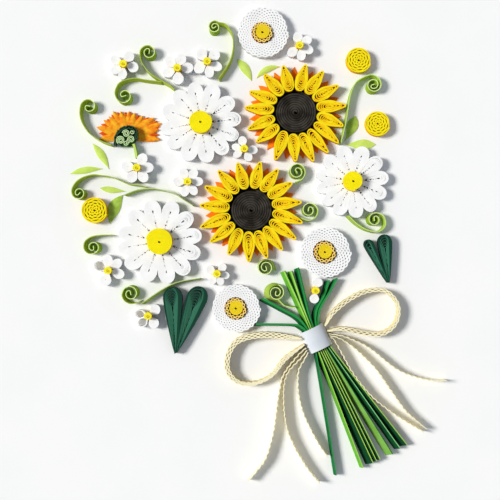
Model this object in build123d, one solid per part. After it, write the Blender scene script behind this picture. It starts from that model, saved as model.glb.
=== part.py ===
"""Quilled paper bouquet on a card.

Strips of paper stand on edge on a white card, rolled into coils, pinched into petals, curled into
scrolls and bent into a bow. Millimetres, +Z up, origin under the middle of the card, +Y towards the
top of the picture. Angles are in degrees, anticlockwise from +X seen from above.
"""
from math import atan2, ceil, cos, degrees, hypot, pi, radians, sin, sqrt
import os

from build123d import *

# Card and paper
CARD_SIDE = 210.0
CARD_THICKNESS = 1.5
STRIP_HEIGHT = 3.0
STRIP_THICKNESS = 0.26
SHEET_THICKNESS = 0.25
CLEARANCE = 0.12

# Facets of round outlines, for one full turn
COIL_STEPS = 12
DISC_STEPS = 24
CORE_STEPS = 8

# Sunflowers: place, then the angle and radius of each petal's tip
SUNFLOWER_PLACES = {
    "sunflower_upper": (18.2, 55.0),
    "sunflower_lower": (0.4, 16.0),
}
SUNFLOWER_TIPS = {
    "sunflower_upper": ((105, 19.5), (77.9, 19.7), (56.0, 20.0), (31.9, 20.4), (7.6, 20.5), (-15.9, 20.0),
                        (-35.5, 21.3), (-51, 20.9), (-69.7, 21.0), (-90, 19.8), (-112.9, 20.8), (-142.7, 19.8),
                        (-160.2, 20.3), (174.8, 20.4), (156.0, 20.3), (129.7, 19.8)),
    "sunflower_lower": ((105.9, 19.8), (79.1, 19.8), (56.5, 19.8), (33.5, 19.9), (8.8, 20.6), (-13.9, 21.4),
                        (-32.9, 21.6), (-51.8, 20.6), (-71.6, 20.5), (-92.3, 21.0), (-116.7, 20.3), (-141.6, 21.0),
                        (-160.7, 21.6), (174.9, 20.7), (153.1, 20.9), (129.9, 20.7)),
}
SEED_RADIUS = 8.45
SEED_TURNS = 3
SUNFLOWER_PETAL_END = 2.05
SUNFLOWER_PETAL_WAIST = 2.35
BACK_PETAL_TIP_RADIUS = 18.7
BACK_PETAL_NOTCH_RADIUS = 14.5
BACK_PETAL_POINT = 2.4
BACK_PETAL_SHARE = 0.27

# Daisies
DAISIES = {
    "daisy_upper": ((-19.7, 50.9), 16.4, 4.7, (100, 69, 35, 5, -21, -50, -80, -112, -145, -169, -200, -231)),
    "daisy_left": ((-36.0, 3.3), 17.2, 5.4, (103, 70, 41, 9, -18, -49, -78, -111, -144, -171, -193, -225)),
    "daisy_right": ((40.9, 27.4), 14.8, 4.05, (138, 107, 70, 38, 6, -23, -54, -82, -116, -142, -168, -191)),
}
DAISY_PETAL_END = 3.05
DAISY_EYE_TURNS = 1.5

# Rosettes (place and radius, then those of the heart, which sits off centre) and roses of crimped strip
ROSETTES = {
    "rosette_top": ((5.2, 87.2), 10.4, (4.9, 86.95), 4.3),
    "rosette_right": ((30.2, -0.8), 10.4, (29.8, -0.7), 4.6),
    "rosette_left": ((-5.5, -23.2), 9.9, (-5.7, -23.2), 4.5),
}
ROSES = {
    "yellow_rose_left": ((-62.2, 16.0), 5.35),
    "yellow_rose_upper_right": ((43.4, 76.0), 5.2),
    "yellow_rose_lower_right": ((51.0, 50.6), 5.15),
}
CRIMP_PITCH = 2.2
CRIMP_DEPTH = 0.3
HEART_RISE = 0.7

# Small filler flowers: place, reach of the petals, petal angles
SMALL_FLOWERS = (
    ((-50.4, 74.0), 6.1, (57, -15, -98, -150, 150)),
    ((-28.9, 72.4), 6.4, (70, 5, -88, -160, 135)),
    ((-17.0, 75.0), 6.4, (45, -25, -80, -145, 125)),
    ((19.8, 81.4), 5.9, (100, 38, -22, -80, -142)),
    ((-2.2, 40.3), 5.4, (103, -5, -65, -146, 166)),
    ((-45.0, 32.7), 6.6, (62, 3, -57, -122, 170)),
    ((-24.8, 27.2), 6.2, (56, 2, -58, -108, 175, 115)),
    ((-56.4, -8.2), 6.6, (154, 95, 40, -19, -110)),
    ((-13.1, -9.5), 5.1, (50, -12, -68, -125, 150)),
    ((-40.5, -26.3), 5.8, (44, -56, -135, 168)),
    ((26.2, -16.2), 5.3, (72, -100)),
)
OPEN_LOOPS = {8: (154,), 10: (-135, 168)}   # flower number, and its petals that are open loops
SMALL_PETAL_HALF_WIDTH = 2.0
SMALL_CORE_RADIUS = 1.7
SMALL_CORE_HEIGHT = 5.0

# Scrolls: coil centre, angle at which the coil starts, sense (+1 anticlockwise), radii at each eighth
# of a turn from the outside in, and the route of the stem to the start of the coil
SCROLLS = {
    "scroll_top_left": (
        (-40.4, 79.0), 211, -1, (4.05, 3.5, 2.95, 2.55, 2.35, 2.2, 2.1, 2.05, 2.0, 1.9, 1.7),
        ((-30.4, 64.3), (-32.4, 66.0), (-35.9, 68.0), (-38.6, 69.6), (-41.2, 71.9), (-43.1, 74.7))),
    "scroll_upper_left": (
        (-50.1, 61.7), 115, 1, (5.4, 4.1, 3.3, 2.9, 2.6, 2.35, 2.15, 2.0, 1.9, 1.75),
        ((-35.5, 67.2), (-38.6, 67.6), (-42.0, 68.0), (-45.7, 68.6), (-49.2, 68.1))),
    "scroll_outer_left": (
        (-64.3, 57.4), 208, -1, (4.2, 3.25, 2.85, 2.55, 2.35, 2.2, 2.05, 1.95, 1.8),
        ((-55.5, 42.1), (-58.8, 43.2), (-61.6, 44.7), (-64.4, 46.8), (-66.5, 49.8), (-67.7, 52.6))),
    "scroll_middle_left": (
        (-68.3, 22.7), 102, 1, (4.8, 3.35, 2.75, 2.35, 2.15, 1.95, 1.85, 1.8, 1.75, 1.65, 1.45),
        ((-41.5, 25.2), (-44.0, 25.8), (-48.8, 26.4), (-51.5, 27.5), (-55.6, 29.2), (-59.3, 29.8),
         (-62.7, 30.1), (-66.4, 29.2))),
    "scroll_lower_left": (
        (-62.7, 1.1), 106, 1, (4.15, 3.95, 3.6, 3.0, 2.4, 2.2, 2.1, 2.0, 1.85, 1.75, 1.6, 1.4),
        ((-55.3, 6.0), (-60.1, 5.9))),
    "scroll_by_heart_leaf": (
        (-47.8, -17.4), -40, -1, (5.0, 4.1, 3.7, 3.4, 3.1, 2.85, 2.65, 2.45, 2.3, 2.15, 2.0, 1.8, 1.55), ()),
    "scroll_top": (
        (-14.1, 89.1), 44, 1, (2.6, 2.45, 2.35, 2.25, 2.1, 1.9, 1.75, 1.6, 1.5, 1.4, 1.3, 1.15),
        ((-12.4, 68.6), (-8.4, 74.8), (-7.0, 79.2), (-6.7, 82.8), (-7.2, 86.4), (-8.8, 89.2), (-10.3, 90.5))),
    "scroll_right": (
        (49.3, 66.0), 147, -1,
        (5.2, 4.1, 3.45, 3.1, 2.85, 2.6, 2.4, 2.25, 2.15, 2.1, 2.05, 1.85, 1.65, 1.5, 1.4),
        ((36.4, 42.9), (37.5, 47.5), (38.4, 51.6), (39.0, 55.3), (39.6, 59.5), (40.5, 63.2), (42.2, 66.8))),
    "scroll_between_sunflowers": (
        (18.75, 31.25), 262, 1, (4.1, 3.5, 3.3, 3.2, 3.2, 3.0, 2.7, 2.35, 2.15, 2.05, 2.0, 1.85, 1.6), ()),
    "scroll_beside_sunflower": (
        (23.5, 16.0), 224, 1, (4.5, 4.15, 3.9, 3.6, 3.05, 2.7, 2.45, 2.3, 2.2, 2.1, 1.95, 1.75, 1.55), ()),
    "scroll_below_sunflower": (
        (6.3, -7.0), -19, 1,
        (4.5, 3.65, 3.2, 3.1, 3.05, 2.95, 2.75, 2.5, 2.35, 2.25, 2.15, 2.0, 1.85, 1.65, 1.45), ()),
    "scroll_by_stems": (
        (10.4, -17.0), 208, -1,
        (4.75, 4.25, 3.6, 3.2, 3.05, 2.95, 2.8, 2.6, 2.4, 2.25, 2.1, 1.95, 1.85, 1.65, 1.45),
        ((18.2, -23.0), (16.0, -22.8), (12.0, -21.8), (8.0, -20.3))),
    "scroll_lower_right": (
        (49.8, 12.2), 240, 1, (5.0, 5.15, 4.9, 3.9, 2.9, 2.5, 2.3, 2.2, 2.1, 2.0, 1.85, 1.7, 1.5),
        ((39.4, 13.7), (42.1, 11.0), (44.6, 9.2))),
}
SCROLL_HOOK_SIZE = 0.6

VINES = (
    ((-50.4, 22.0), (-45.0, 24.0), (-39.4, 24.6), (-34.4, 23.8), (-29.8, 22.2), (-26.2, 19.8), (-22.9, 17.8)),
    ((-43.4, -21.4), (-39.3, -18.5), (-34.3, -15.3), (-28.8, -12.8), (-20.0, -11.2)),
)

# Flat cut leaves: foot, tip, width, sideways bow (to the left of foot-to-tip), place of the widest point
FLAT_LEAVES = (
    ((-56.8, 32.6), (-63.4, 42.8), 3.1, -0.5, 0.55),
    ((-59.2, 32.7), (-72.5, 30.6), 2.7, -0.6, 0.55),
    ((-49.8, 23.6), (-60.6, 25.0), 2.6, 0.2, 0.6),
    ((-5.3, 76.8), (0.6, 68.0), 3.5, 0.7, 0.45),
    ((12.2, 73.8), (2.6, 69.2), 2.6, -1.3, 0.5),
    ((37.9, 43.5), (42.5, 54.0), 4.6, -0.5, 0.66),
    ((38.1, 42.5), (50.6, 42.5), 4.3, -0.1, 0.62),
    ((-56.3, 10.6), (-51.1, 22.2), 5.0, 1.2, 0.5),
)

LEAF_STEPS = 5
LEAF_UNDER_DAISIES = ("daisy_right",)
LEAF_UNDER_ROSES = ("yellow_rose_left",)

# Heart leaves: each lobe is a teardrop coil from the shared foot to a round end
HEART_LOBES = {
    "heart_leaf_left": (((-29.9, -41.6), (-30.95, -18.6), 3.9), ((-29.4, -41.2), (-21.0, -18.7), 4.25)),
    "heart_leaf_right": (((55.2, -13.2), (47.5, 2.3), 2.0), ((55.6, -13.2), (53.9, 3.4), 2.9)),
}

# Sunflower seen from behind: cut petals, calyx, stem
BACK_VIEW_PETALS = (
    (-54.4, 42.1), (-57.6, 43.1), (-60.6, 44.7), (-61.7, 45.6), (-61.7, 49.4), (-58.4, 48.4), (-58.9, 52.2),
    (-57.0, 51.6), (-56.8, 53.6), (-55.2, 52.4), (-55.1, 55.8), (-53.6, 53.7), (-52.0, 55.8), (-50.8, 53.8),
    (-48.6, 55.8), (-48.0, 53.0), (-46.2, 55.2), (-45.2, 53.2), (-43.0, 54.0), (-43.2, 51.8), (-38.4, 53.2),
    (-39.6, 51.2), (-35.4, 51.0), (-37.6, 49.2), (-36.4, 48.5), (-36.9, 46.9), (-36.0, 44.3), (-37.8, 44.6),
    (-40.6, 42.7), (-42.6, 44.4), (-44.4, 47.6), (-46.0, 45.0),
)
CALYX = (
    (-54.2, 41.2), (-54.5, 44.8), (-53.6, 48.0), (-51.2, 49.6), (-48.0, 50.2), (-45.6, 49.2), (-44.7, 46.8),
    (-45.2, 44.0), (-47.6, 42.4), (-50.0, 41.2), (-52.4, 41.4),
)
CALYX_HEIGHT = 3.0
BACK_VIEW_STEM = ((-46.6, 42.4, 2.0), (-45.8, 39.6, 1.5), (-45.4, 36.8, 0.7))

# Stems: flower end to wrap, and cut end; they lean to the right as they stand
STEM_PITCH = 0.8
STEM_THICKNESS = 0.34
STEM_LEAN = 1.0
STEM_TOPS = (
    ((1.7, -30.0), (10.0, -30.0), (16.8, -30.2), (19.4, -31.0)),
    ((4.2, -19.9), (12.0, -24.1), (18.6, -27.9)),
    ((12.8, -8.8), (15.8, -15.4), (19.9, -24.4)),
    ((15.6, -8.8), (18.0, -16.0), (20.9, -24.6)),
    ((18.3, -7.5), (20.6, -17.2), (22.6, -25.6)),
    ((30.6, -12.6), (28.8, -18.4), (25.6, -24.8)),
    ((33.8, -11.8), (31.2, -16.8), (27.0, -24.2)),
    (),
)
STEM_ENDS = ((33.3, -90.6), (44.0, -87.6), (48.0, -85.6), (49.4, -84.8), (50.8, -84.2), (55.8, -82.0),
             (58.8, -79.8), (61.6, -78.4))
DARK_STEMS = (0, 1, 4, 5, 6)

# Paper wrap: an arch over the bundle, glued to the card at both feet
WRAP_CENTRE = (26.5, -35.4)
WRAP_HEADING = -64.3
WRAP_LENGTH = 9.2
WRAP_HALF_WIDTH = 4.9
WRAP_HEADROOM = 1.2
WRAP_ARCH = 2.9
WRAP_PAPER = 0.3
WRAP_STEPS = 12

# Bow of crimped strip; each place on a loop's route has the half width of its strips laid together
BOW_HEIGHT = 4.0
BOW_END_HALF_WIDTH = 0.4
BOW_CRIMP = 0.22
TAIL_THICKNESS = 0.3
TAIL_CRIMP = 0.16
BOW_LOOPS = {
    "bow_loop_left": ((14.3, -34.6, 1.1), (6.4, -33.9, 1.25), (-0.8, -34.7, 1.2), (-6.0, -37.2, 1.15),
                      (-8.9, -42.6, 1.15), (-8.7, -48.5, 1.1), (-4.6, -52.7, 0.9), (2.0, -53.2, 0.75),
                      (8.7, -50.0, 0.75), (13.9, -43.6, 0.9)),
    "bow_loop_right": ((33.3, -24.8, 0.9), (40.0, -19.4, 0.95), (46.8, -16.4, 0.9), (53.6, -16.2, 0.85),
                       (58.2, -20.2, 0.75), (59.3, -25.4, 0.7), (57.2, -30.5, 0.8), (52.2, -33.5, 0.95),
                       (46.2, -33.2, 1.0), (37.0, -31.5, 0.9)),
}
BOW_LOOP_SEATS = {"bow_loop_left": (-1, (-2.6, 0.0)), "bow_loop_right": (1, (-3.1, -0.9))}
BOW_TAILS = (
    (-1, 1.5, ((19.0, -42.2), (13.4, -49.8), (11.4, -58.0), (10.4, -65.2), (9.2, -73.2), (6.4, -82.8),
               (2.8, -88.0), (-0.8, -92.2))),
    (-1, 2.5, ((20.2, -43.2), (15.4, -48.4), (13.7, -53.2), (13.4, -60.8), (14.6, -70.8), (18.0, -79.2),
               (23.2, -87.6), (27.8, -93.0))),
    (-1, 3.5, ((21.4, -44.2), (19.3, -48.8), (19.3, -56.8), (21.0, -64.4), (24.0, -71.2), (28.0, -78.4),
               (31.0, -82.4))),
    (1, 2.2, ((33.4, -35.6), (36.8, -41.6), (40.6, -48.4), (44.9, -54.2), (49.4, -59.2), (56.0, -64.4),
              (62.8, -68.8), (69.3, -72.6))),
    (1, 1.3, ((35.2, -35.0), (40.0, -37.9), (44.8, -42.0), (50.4, -47.8), (55.6, -55.2), (61.6, -63.6),
              (65.6, -67.4), (70.4, -71.4))),
    (1, 0.4, ((36.8, -34.2), (42.0, -36.2), (46.4, -38.4), (50.4, -41.2), (55.2, -45.2), (60.0, -48.4),
              (66.4, -50.8), (73.2, -52.1), (78.4, -52.0))),
)


def polar(centre, radius, angle):
    """The point at a radius and an angle from a centre."""
    return (centre[0] + radius * cos(radians(angle)), centre[1] + radius * sin(radians(angle)))


def smooth(points, step):
    """A smooth curve through the points, as points about one step apart."""
    ends = [points[0]] + list(points) + [points[-1]]
    curve = []
    for a, b, c, d in zip(ends, ends[1:], ends[2:], ends[3:]):
        pieces = max(1, round(hypot(c[0] - b[0], c[1] - b[1]) / step))
        for i in range(pieces):
            t = i / pieces
            curve.append(tuple(
                0.5 * (2 * q + (r - p) * t + (2 * p - 5 * q + 4 * r - s) * t ** 2
                       + (3 * q - p - 3 * r + s) * t ** 3) for p, q, r, s in zip(a, b, c, d)))
    curve.append(tuple(points[-1]))
    return curve


def evenly(points, step):
    """Points at even steps along a path, with both of its ends."""
    lengths = [hypot(b[0] - a[0], b[1] - a[1]) for a, b in zip(points, points[1:])]
    count = max(2, round(sum(lengths) / step))
    spaced, done, segment = [], 0.0, 0
    for i in range(count):
        target = sum(lengths) * i / count
        while done + lengths[segment] < target:
            done += lengths[segment]
            segment += 1
        t = (target - done) / lengths[segment]
        spaced.append(tuple(p + (q - p) * t for p, q in zip(points[segment], points[segment + 1])))
    return spaced + [points[-1]]


def beside(path, offsets):
    """The path shifted to its left by one offset for each point."""
    shifted = []
    for i, (point, offset) in enumerate(zip(path, offsets)):
        before, after = path[max(i - 1, 0)], path[min(i + 1, len(path) - 1)]
        along = hypot(after[0] - before[0], after[1] - before[1])
        normal = (-(after[1] - before[1]) / along, (after[0] - before[0]) / along)
        shifted.append((point[0] + normal[0] * offset, point[1] + normal[1] * offset))
    return shifted


def ribbon(path, half_widths):
    """The outline of a band that follows a path."""
    return beside(path, half_widths) + beside(path, [-w for w in half_widths])[::-1]


def slab(outline, bottom, height, lean=(0, 0)):
    """An outline raised into a solid, straight up or leaning by so much at its top."""
    face = make_face(Polyline(*[(x, y, bottom) for x, y in outline], close=True))
    if lean == (0, 0):
        return extrude(face, height, dir=(0, 0, 1))
    return extrude(face, sqrt(height ** 2 + lean[0] ** 2 + lean[1] ** 2), dir=(lean[0], lean[1], height))


def strip(path, thickness, height=STRIP_HEIGHT, bottom=CARD_THICKNESS, lean=(0, 0)):
    """A paper strip that stands on edge along a path."""
    return slab(ribbon(path, [thickness / 2] * len(path)), bottom, height, lean)


def disc(centre, radius, steps, depth=0.0, waves=0):
    """A round outline, or a crimped one with a number of waves."""
    if waves:
        return [polar(centre, radius - depth * (i % 2), 180.0 / waves * i) for i in range(2 * waves)]
    return [polar(centre, radius, 360.0 / steps * i) for i in range(steps)]


def coil(centre, start_angle, sense, radii):
    """A spiral through the radii given for each eighth of a turn."""
    eighths = len(radii) - 1
    count = ceil(eighths / 8 * COIL_STEPS)
    points = []
    for i in range(count + 1):
        place = eighths * i / count
        knot = min(int(place), eighths - 1)
        radius = radii[knot] + (radii[knot + 1] - radii[knot]) * (place - knot)
        points.append(polar(centre, radius, start_angle + sense * 45.0 * place))
    return points


def teardrop(foot, end_centre, end_radius, steps, swell=()):
    """A pinched coil's outline: a sharp foot, straight or swelling sides and a round end.

    The swell lists half widths of the sides as (share of the way to the round end, half width).
    """
    reach = hypot(end_centre[0] - foot[0], end_centre[1] - foot[1])
    heading = degrees(atan2(end_centre[1] - foot[1], end_centre[0] - foot[0]))
    flank = 90.0 + degrees(atan2(end_radius, sqrt(reach ** 2 - end_radius ** 2)))
    arc = [polar(end_centre, end_radius, heading - flank + 2 * flank * i / steps) for i in range(steps + 1)]
    right = [polar(polar(foot, reach * share, heading), half, heading - 90) for share, half in swell]
    left = [polar(polar(foot, reach * share, heading), half, heading + 90) for share, half in swell]
    return [foot] + right + arc + left[::-1]


def coil_groove(centre, radius, turns, depth, top):
    """The gap between the turns of a rolled strip, cut into the top of a coil."""
    shares = [0.88 - 0.74 * i / (8 * turns) for i in range(int(8 * turns) + 1)]
    path = coil(centre, 0, 1, [radius * share for share in shares])
    return strip(path, STRIP_THICKNESS, depth, top - depth)


def save(name, solids):
    """Write one named piece, or a group of like pieces, as a STEP file."""
    pieces = [piece for solid in solids for piece in solid.solids()]
    shape = pieces[0] if len(pieces) == 1 else Compound(children=pieces)
    shape.label = name
    export_step(shape, f"parts/{name}.step")


def backing_card():
    return Box(CARD_SIDE, CARD_SIDE, CARD_THICKNESS, align=(Align.CENTER, Align.CENTER, Align.MIN))


def back_petal_star(name, margin=0.0):
    """The outline of a sunflower's cut back petals, whose points show between the front ones, plus a margin."""
    centre, tips = SUNFLOWER_PLACES[name], SUNFLOWER_TIPS[name]
    star = []
    for (tip, _), (following, _) in zip(tips, tips[1:] + tips[:1]):
        gap = (tip - following) % 360.0
        shoulder = BACK_PETAL_TIP_RADIUS - BACK_PETAL_POINT + margin
        star += [polar(centre, BACK_PETAL_NOTCH_RADIUS + margin, tip),
                 polar(centre, shoulder, tip - gap * (0.5 - BACK_PETAL_SHARE)),
                 polar(centre, BACK_PETAL_TIP_RADIUS + margin, tip - gap / 2),
                 polar(centre, shoulder, tip - gap * (0.5 + BACK_PETAL_SHARE))]
    return star


def sunflower(name):
    """Cut back petals on the card, with a ring of pinched petal coils round the seed coil on them."""
    centre, tips = SUNFLOWER_PLACES[name], SUNFLOWER_TIPS[name]
    floor = CARD_THICKNESS + SHEET_THICKNESS
    gaps = [(a - b) % 360.0 for (a, _), (b, _) in zip(tips, tips[1:] + tips[:1])]
    petals = []
    for i, ((tip, reach), gap) in enumerate(zip(tips, gaps)):
        foot = polar(centre, reach, tip)
        end = polar(centre, SEED_RADIUS + CLEARANCE + SUNFLOWER_PETAL_END, tips[0][0] - 360.0 / len(tips) * i)
        waist = SUNFLOWER_PETAL_WAIST * min(1.0, 1.12 * min(gap, gaps[i - 1]) * len(tips) / 360.0)
        outline = teardrop(foot, end, SUNFLOWER_PETAL_END, 5, ((0.36, waist * 0.6), (0.68, waist)))
        petals.append(slab(outline, floor, STRIP_HEIGHT))
    seed = slab(disc(centre, SEED_RADIUS, DISC_STEPS), floor, STRIP_HEIGHT)
    seed -= coil_groove(centre, SEED_RADIUS, SEED_TURNS, 0.8, floor + STRIP_HEIGHT)
    save(f"{name}_back_petals", [slab(back_petal_star(name), CARD_THICKNESS, SHEET_THICKNESS)])
    save(f"{name}_petals", petals)
    save(f"{name}_seed_coil", [seed])


def daisy_petal(name, number, margin=0.0):
    """The outline of one daisy petal, as wide as its neighbours leave room for, plus a margin."""
    centre, reach, eye_radius, angles = DAISIES[name]
    angle = angles[number]
    gap = min((angles[number - 1] - angle) % 360.0, (angle - angles[(number + 1) % len(angles)]) % 360.0)
    share = sin(radians(gap / 2))
    end_radius = min(DAISY_PETAL_END, (reach * share - CLEARANCE) / (1 + share))
    end = polar(centre, reach - end_radius, angle)
    return teardrop(polar(centre, eye_radius * 0.35 - margin, angle), end, end_radius + margin, 6)


def daisy(name):
    """White petal coils standing on the card, and a yellow coil glued on top of them."""
    centre, _, eye_radius, angles = DAISIES[name]
    petals = [slab(daisy_petal(name, number), CARD_THICKNESS, STRIP_HEIGHT) for number in range(len(angles))]
    top = CARD_THICKNESS + 2 * STRIP_HEIGHT
    eye = slab(disc(centre, eye_radius, DISC_STEPS), CARD_THICKNESS + STRIP_HEIGHT, STRIP_HEIGHT)
    eye -= coil_groove(centre, eye_radius, DAISY_EYE_TURNS, 0.6, top)
    save(f"{name}_petals", petals)
    save(f"{name}_centre", [eye])


def rosette(name):
    """A coil of crimped white strip round a taller yellow crimped heart."""
    centre, radius, heart_centre, heart_radius = ROSETTES[name]
    waves = round(2 * pi * radius / CRIMP_PITCH)
    heart_waves = round(2 * pi * heart_radius / CRIMP_PITCH)
    coil = slab(disc(centre, radius, 0, CRIMP_DEPTH, waves), CARD_THICKNESS, STRIP_HEIGHT)
    coil -= slab(disc(heart_centre, heart_radius + CLEARANCE, DISC_STEPS), CARD_THICKNESS, STRIP_HEIGHT)
    heart = slab(disc(heart_centre, heart_radius, 0, CRIMP_DEPTH, heart_waves), CARD_THICKNESS,
                 STRIP_HEIGHT + HEART_RISE)
    save(f"{name}_coil", [coil])
    save(f"{name}_heart", [heart])


def rose(name):
    """A coil of crimped yellow strip."""
    centre, radius = ROSES[name]
    waves = round(2 * pi * radius / CRIMP_PITCH)
    coil = slab(disc(centre, radius, 0, CRIMP_DEPTH, waves), CARD_THICKNESS, STRIP_HEIGHT)
    coil -= coil_groove(centre, radius, 1.5, 0.6, CARD_THICKNESS + STRIP_HEIGHT)
    save(name, [coil])


def small_flower(number, centre, reach, angles):
    """Rolled white petals, a few of them open loops, round a core."""
    petals = []
    for angle in angles:
        gap = min(abs((angle - other + 180) % 360 - 180) for other in angles if other != angle)
        room = (reach * sin(radians(gap / 2)) - CLEARANCE) / (1 + sin(radians(gap / 2)))
        half_width = min(SMALL_PETAL_HALF_WIDTH, 0.45 * (reach - SMALL_CORE_RADIUS - CLEARANCE), room)
        foot = polar(centre, SMALL_CORE_RADIUS + CLEARANCE, angle)
        end = polar(centre, reach - half_width, angle)
        petal = slab(teardrop(foot, end, half_width, 5), CARD_THICKNESS, STRIP_HEIGHT)
        if angle in OPEN_LOOPS.get(number, ()):
            inner_start = SMALL_CORE_RADIUS + CLEARANCE + 2.5 * STRIP_THICKNESS
            inner_radius = min(half_width - STRIP_THICKNESS, 0.97 * (reach - half_width - inner_start))
            inner = teardrop(polar(centre, inner_start, angle), end, inner_radius, 5)
            petal -= slab(inner, CARD_THICKNESS, STRIP_HEIGHT)
        petals.append(petal)
    save(f"small_flower_{number:02d}_petals", petals)


def small_cores():
    """The tight yellow coils in the middle of the filler flowers."""
    cores = [slab(disc(centre, SMALL_CORE_RADIUS, CORE_STEPS), CARD_THICKNESS, SMALL_CORE_HEIGHT)
             for centre, _, _ in SMALL_FLOWERS]
    save("small_flower_cores", cores)


def scroll_path(name):
    """A scroll's centre line: its stem, its coil and the hook at the heart of the coil."""
    centre, start_angle, sense, radii, route = SCROLLS[name]
    turns = coil(centre, start_angle, sense, radii)
    stem = smooth(list(route) + [turns[0]], 3.2)[:-1] if route else []
    last = start_angle + sense * 45.0 * (len(radii) - 1)
    hook = [polar(centre, radii[-1] * 0.72, last + sense * 38),
            polar(centre, SCROLL_HOOK_SIZE / 2, last + sense * 62),
            polar(centre, SCROLL_HOOK_SIZE, last + sense * 205)]
    return stem + turns + hook


def scrolls():
    for name in SCROLLS:
        save(name, [strip(scroll_path(name), STRIP_THICKNESS)])


def leaf_outline(foot, tip, width, bow, widest):
    """A cut leaf: two curved edges from foot to tip, bowed to one side."""
    length = hypot(tip[0] - foot[0], tip[1] - foot[1])
    along = ((tip[0] - foot[0]) / length, (tip[1] - foot[1]) / length)
    steps = LEAF_STEPS
    edges = ([], [])
    for i in range(steps + 1):
        t = i / steps
        swell = sin(pi * t ** (0.69 / -log2(widest))) if 0 < t < 1 else 0.0
        middle = bow * 4 * t * (1 - t)
        for edge, side in zip(edges, (1, -1)):
            across = middle + side * width / 2 * swell
            edge.append((foot[0] + along[0] * length * t - along[1] * across,
                         foot[1] + along[1] * length * t + along[0] * across))
    return edges[0] + edges[1][-2:0:-1]


def log2(value):
    """The power of two that gives a value."""
    power, step = 0.0, 1.0
    while step > 1e-6:
        while 2 ** (power - step) >= value:
            power -= step
        step /= 2
    return power


def flat_leaves():
    """Leaves cut from sheet, cut back where a rose or a daisy petal stands over them."""
    standing = []
    for name in SUNFLOWER_PLACES:
        standing.append(slab(back_petal_star(name, CLEARANCE), 0, 2 * STRIP_HEIGHT))
    for name in LEAF_UNDER_DAISIES:
        for number in range(len(DAISIES[name][3])):
            standing.append(slab(daisy_petal(name, number, CLEARANCE), 0, 2 * STRIP_HEIGHT))
    for name in LEAF_UNDER_ROSES:
        centre, radius = ROSES[name]
        standing.append(slab(disc(centre, radius + CLEARANCE, DISC_STEPS), 0, 2 * STRIP_HEIGHT))
    leaves = []
    for leaf in FLAT_LEAVES:
        sheet = slab(leaf_outline(*leaf), CARD_THICKNESS, SHEET_THICKNESS)
        for piece in standing:
            sheet -= piece
        leaves.append(sheet.solids().sort_by(SortBy.VOLUME)[-1])
    save("flat_leaves", leaves)


def heart_leaf(name):
    """Two teardrop coils side by side, each with the gap under its outer turn."""
    lobes = []
    for foot, end, radius in HEART_LOBES[name]:
        lobe = slab(teardrop(foot, end, radius, 8), CARD_THICKNESS, STRIP_HEIGHT)
        foot_in = (foot[0] + (end[0] - foot[0]) * 0.3, foot[1] + (end[1] - foot[1]) * 0.3)
        turn = teardrop(foot_in, end, radius * 0.72, 7)
        turn = slab(turn, CARD_THICKNESS + STRIP_HEIGHT - 0.9, 0.9)
        core = teardrop((foot[0] + (end[0] - foot[0]) * 0.5, foot[1] + (end[1] - foot[1]) * 0.5),
                        end, radius * 0.52, 7)
        lobes.append(lobe - (turn - slab(core, CARD_THICKNESS, STRIP_HEIGHT)))
    save(name, lobes)


def back_view_flower():
    """A sunflower from behind: cut petals on the card, a green calyx on them and a short stem."""
    scroll = scroll_path("scroll_outer_left")
    slot = strip(scroll, STRIP_THICKNESS + 2 * CLEARANCE)
    petals = slab(BACK_VIEW_PETALS, CARD_THICKNESS, SHEET_THICKNESS) - slot
    petals = petals.solids().sort_by(SortBy.VOLUME)[-1]
    calyx = slab(CALYX, CARD_THICKNESS + SHEET_THICKNESS, CALYX_HEIGHT)
    path = [(x, y) for x, y, _ in BACK_VIEW_STEM]
    stem = slab(ribbon(path, [w / 2 for _, _, w in BACK_VIEW_STEM]), CARD_THICKNESS, STRIP_HEIGHT)
    save("back_view_flower_petals", [petals - stem])
    save("back_view_flower_calyx", [calyx - slab(ribbon(path, [w / 2 + CLEARANCE for _, _, w in BACK_VIEW_STEM]),
                                               CARD_THICKNESS, 2 * STRIP_HEIGHT)])
    save("back_view_flower_stem", [stem])


def wrap_point(across, along):
    """A place by the wrap, measured across the bundle and down its length."""
    heading = radians(WRAP_HEADING)
    return (WRAP_CENTRE[0] + along * cos(heading) - across * sin(heading),
            WRAP_CENTRE[1] + along * sin(heading) + across * cos(heading))


def stem_path(number):
    """A stem's line: from its flower through the wrap to its cut end."""
    bundle = (len(STEM_ENDS) - 1) * STEM_PITCH
    across = number * STEM_PITCH - bundle / 2 - STEM_LEAN / 2
    in_wrap = [wrap_point(across, -WRAP_LENGTH * 0.42), wrap_point(across, WRAP_LENGTH * 0.5)]
    return smooth(list(STEM_TOPS[number]) + in_wrap + [STEM_ENDS[number]], 8.0)


def stems():
    """Green strips that stand on edge and lean a little to the right."""
    heading = radians(WRAP_HEADING + 90)
    lean = (STEM_LEAN * cos(heading), STEM_LEAN * sin(heading))
    groups = {"stems_dark": [], "stems_bright": []}
    for number in range(len(STEM_ENDS)):
        stem = strip(stem_path(number), STEM_THICKNESS, lean=lean)
        groups["stems_dark" if number in DARK_STEMS else "stems_bright"].append(stem)
    for name, pieces in groups.items():
        save(name, pieces)


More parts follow.
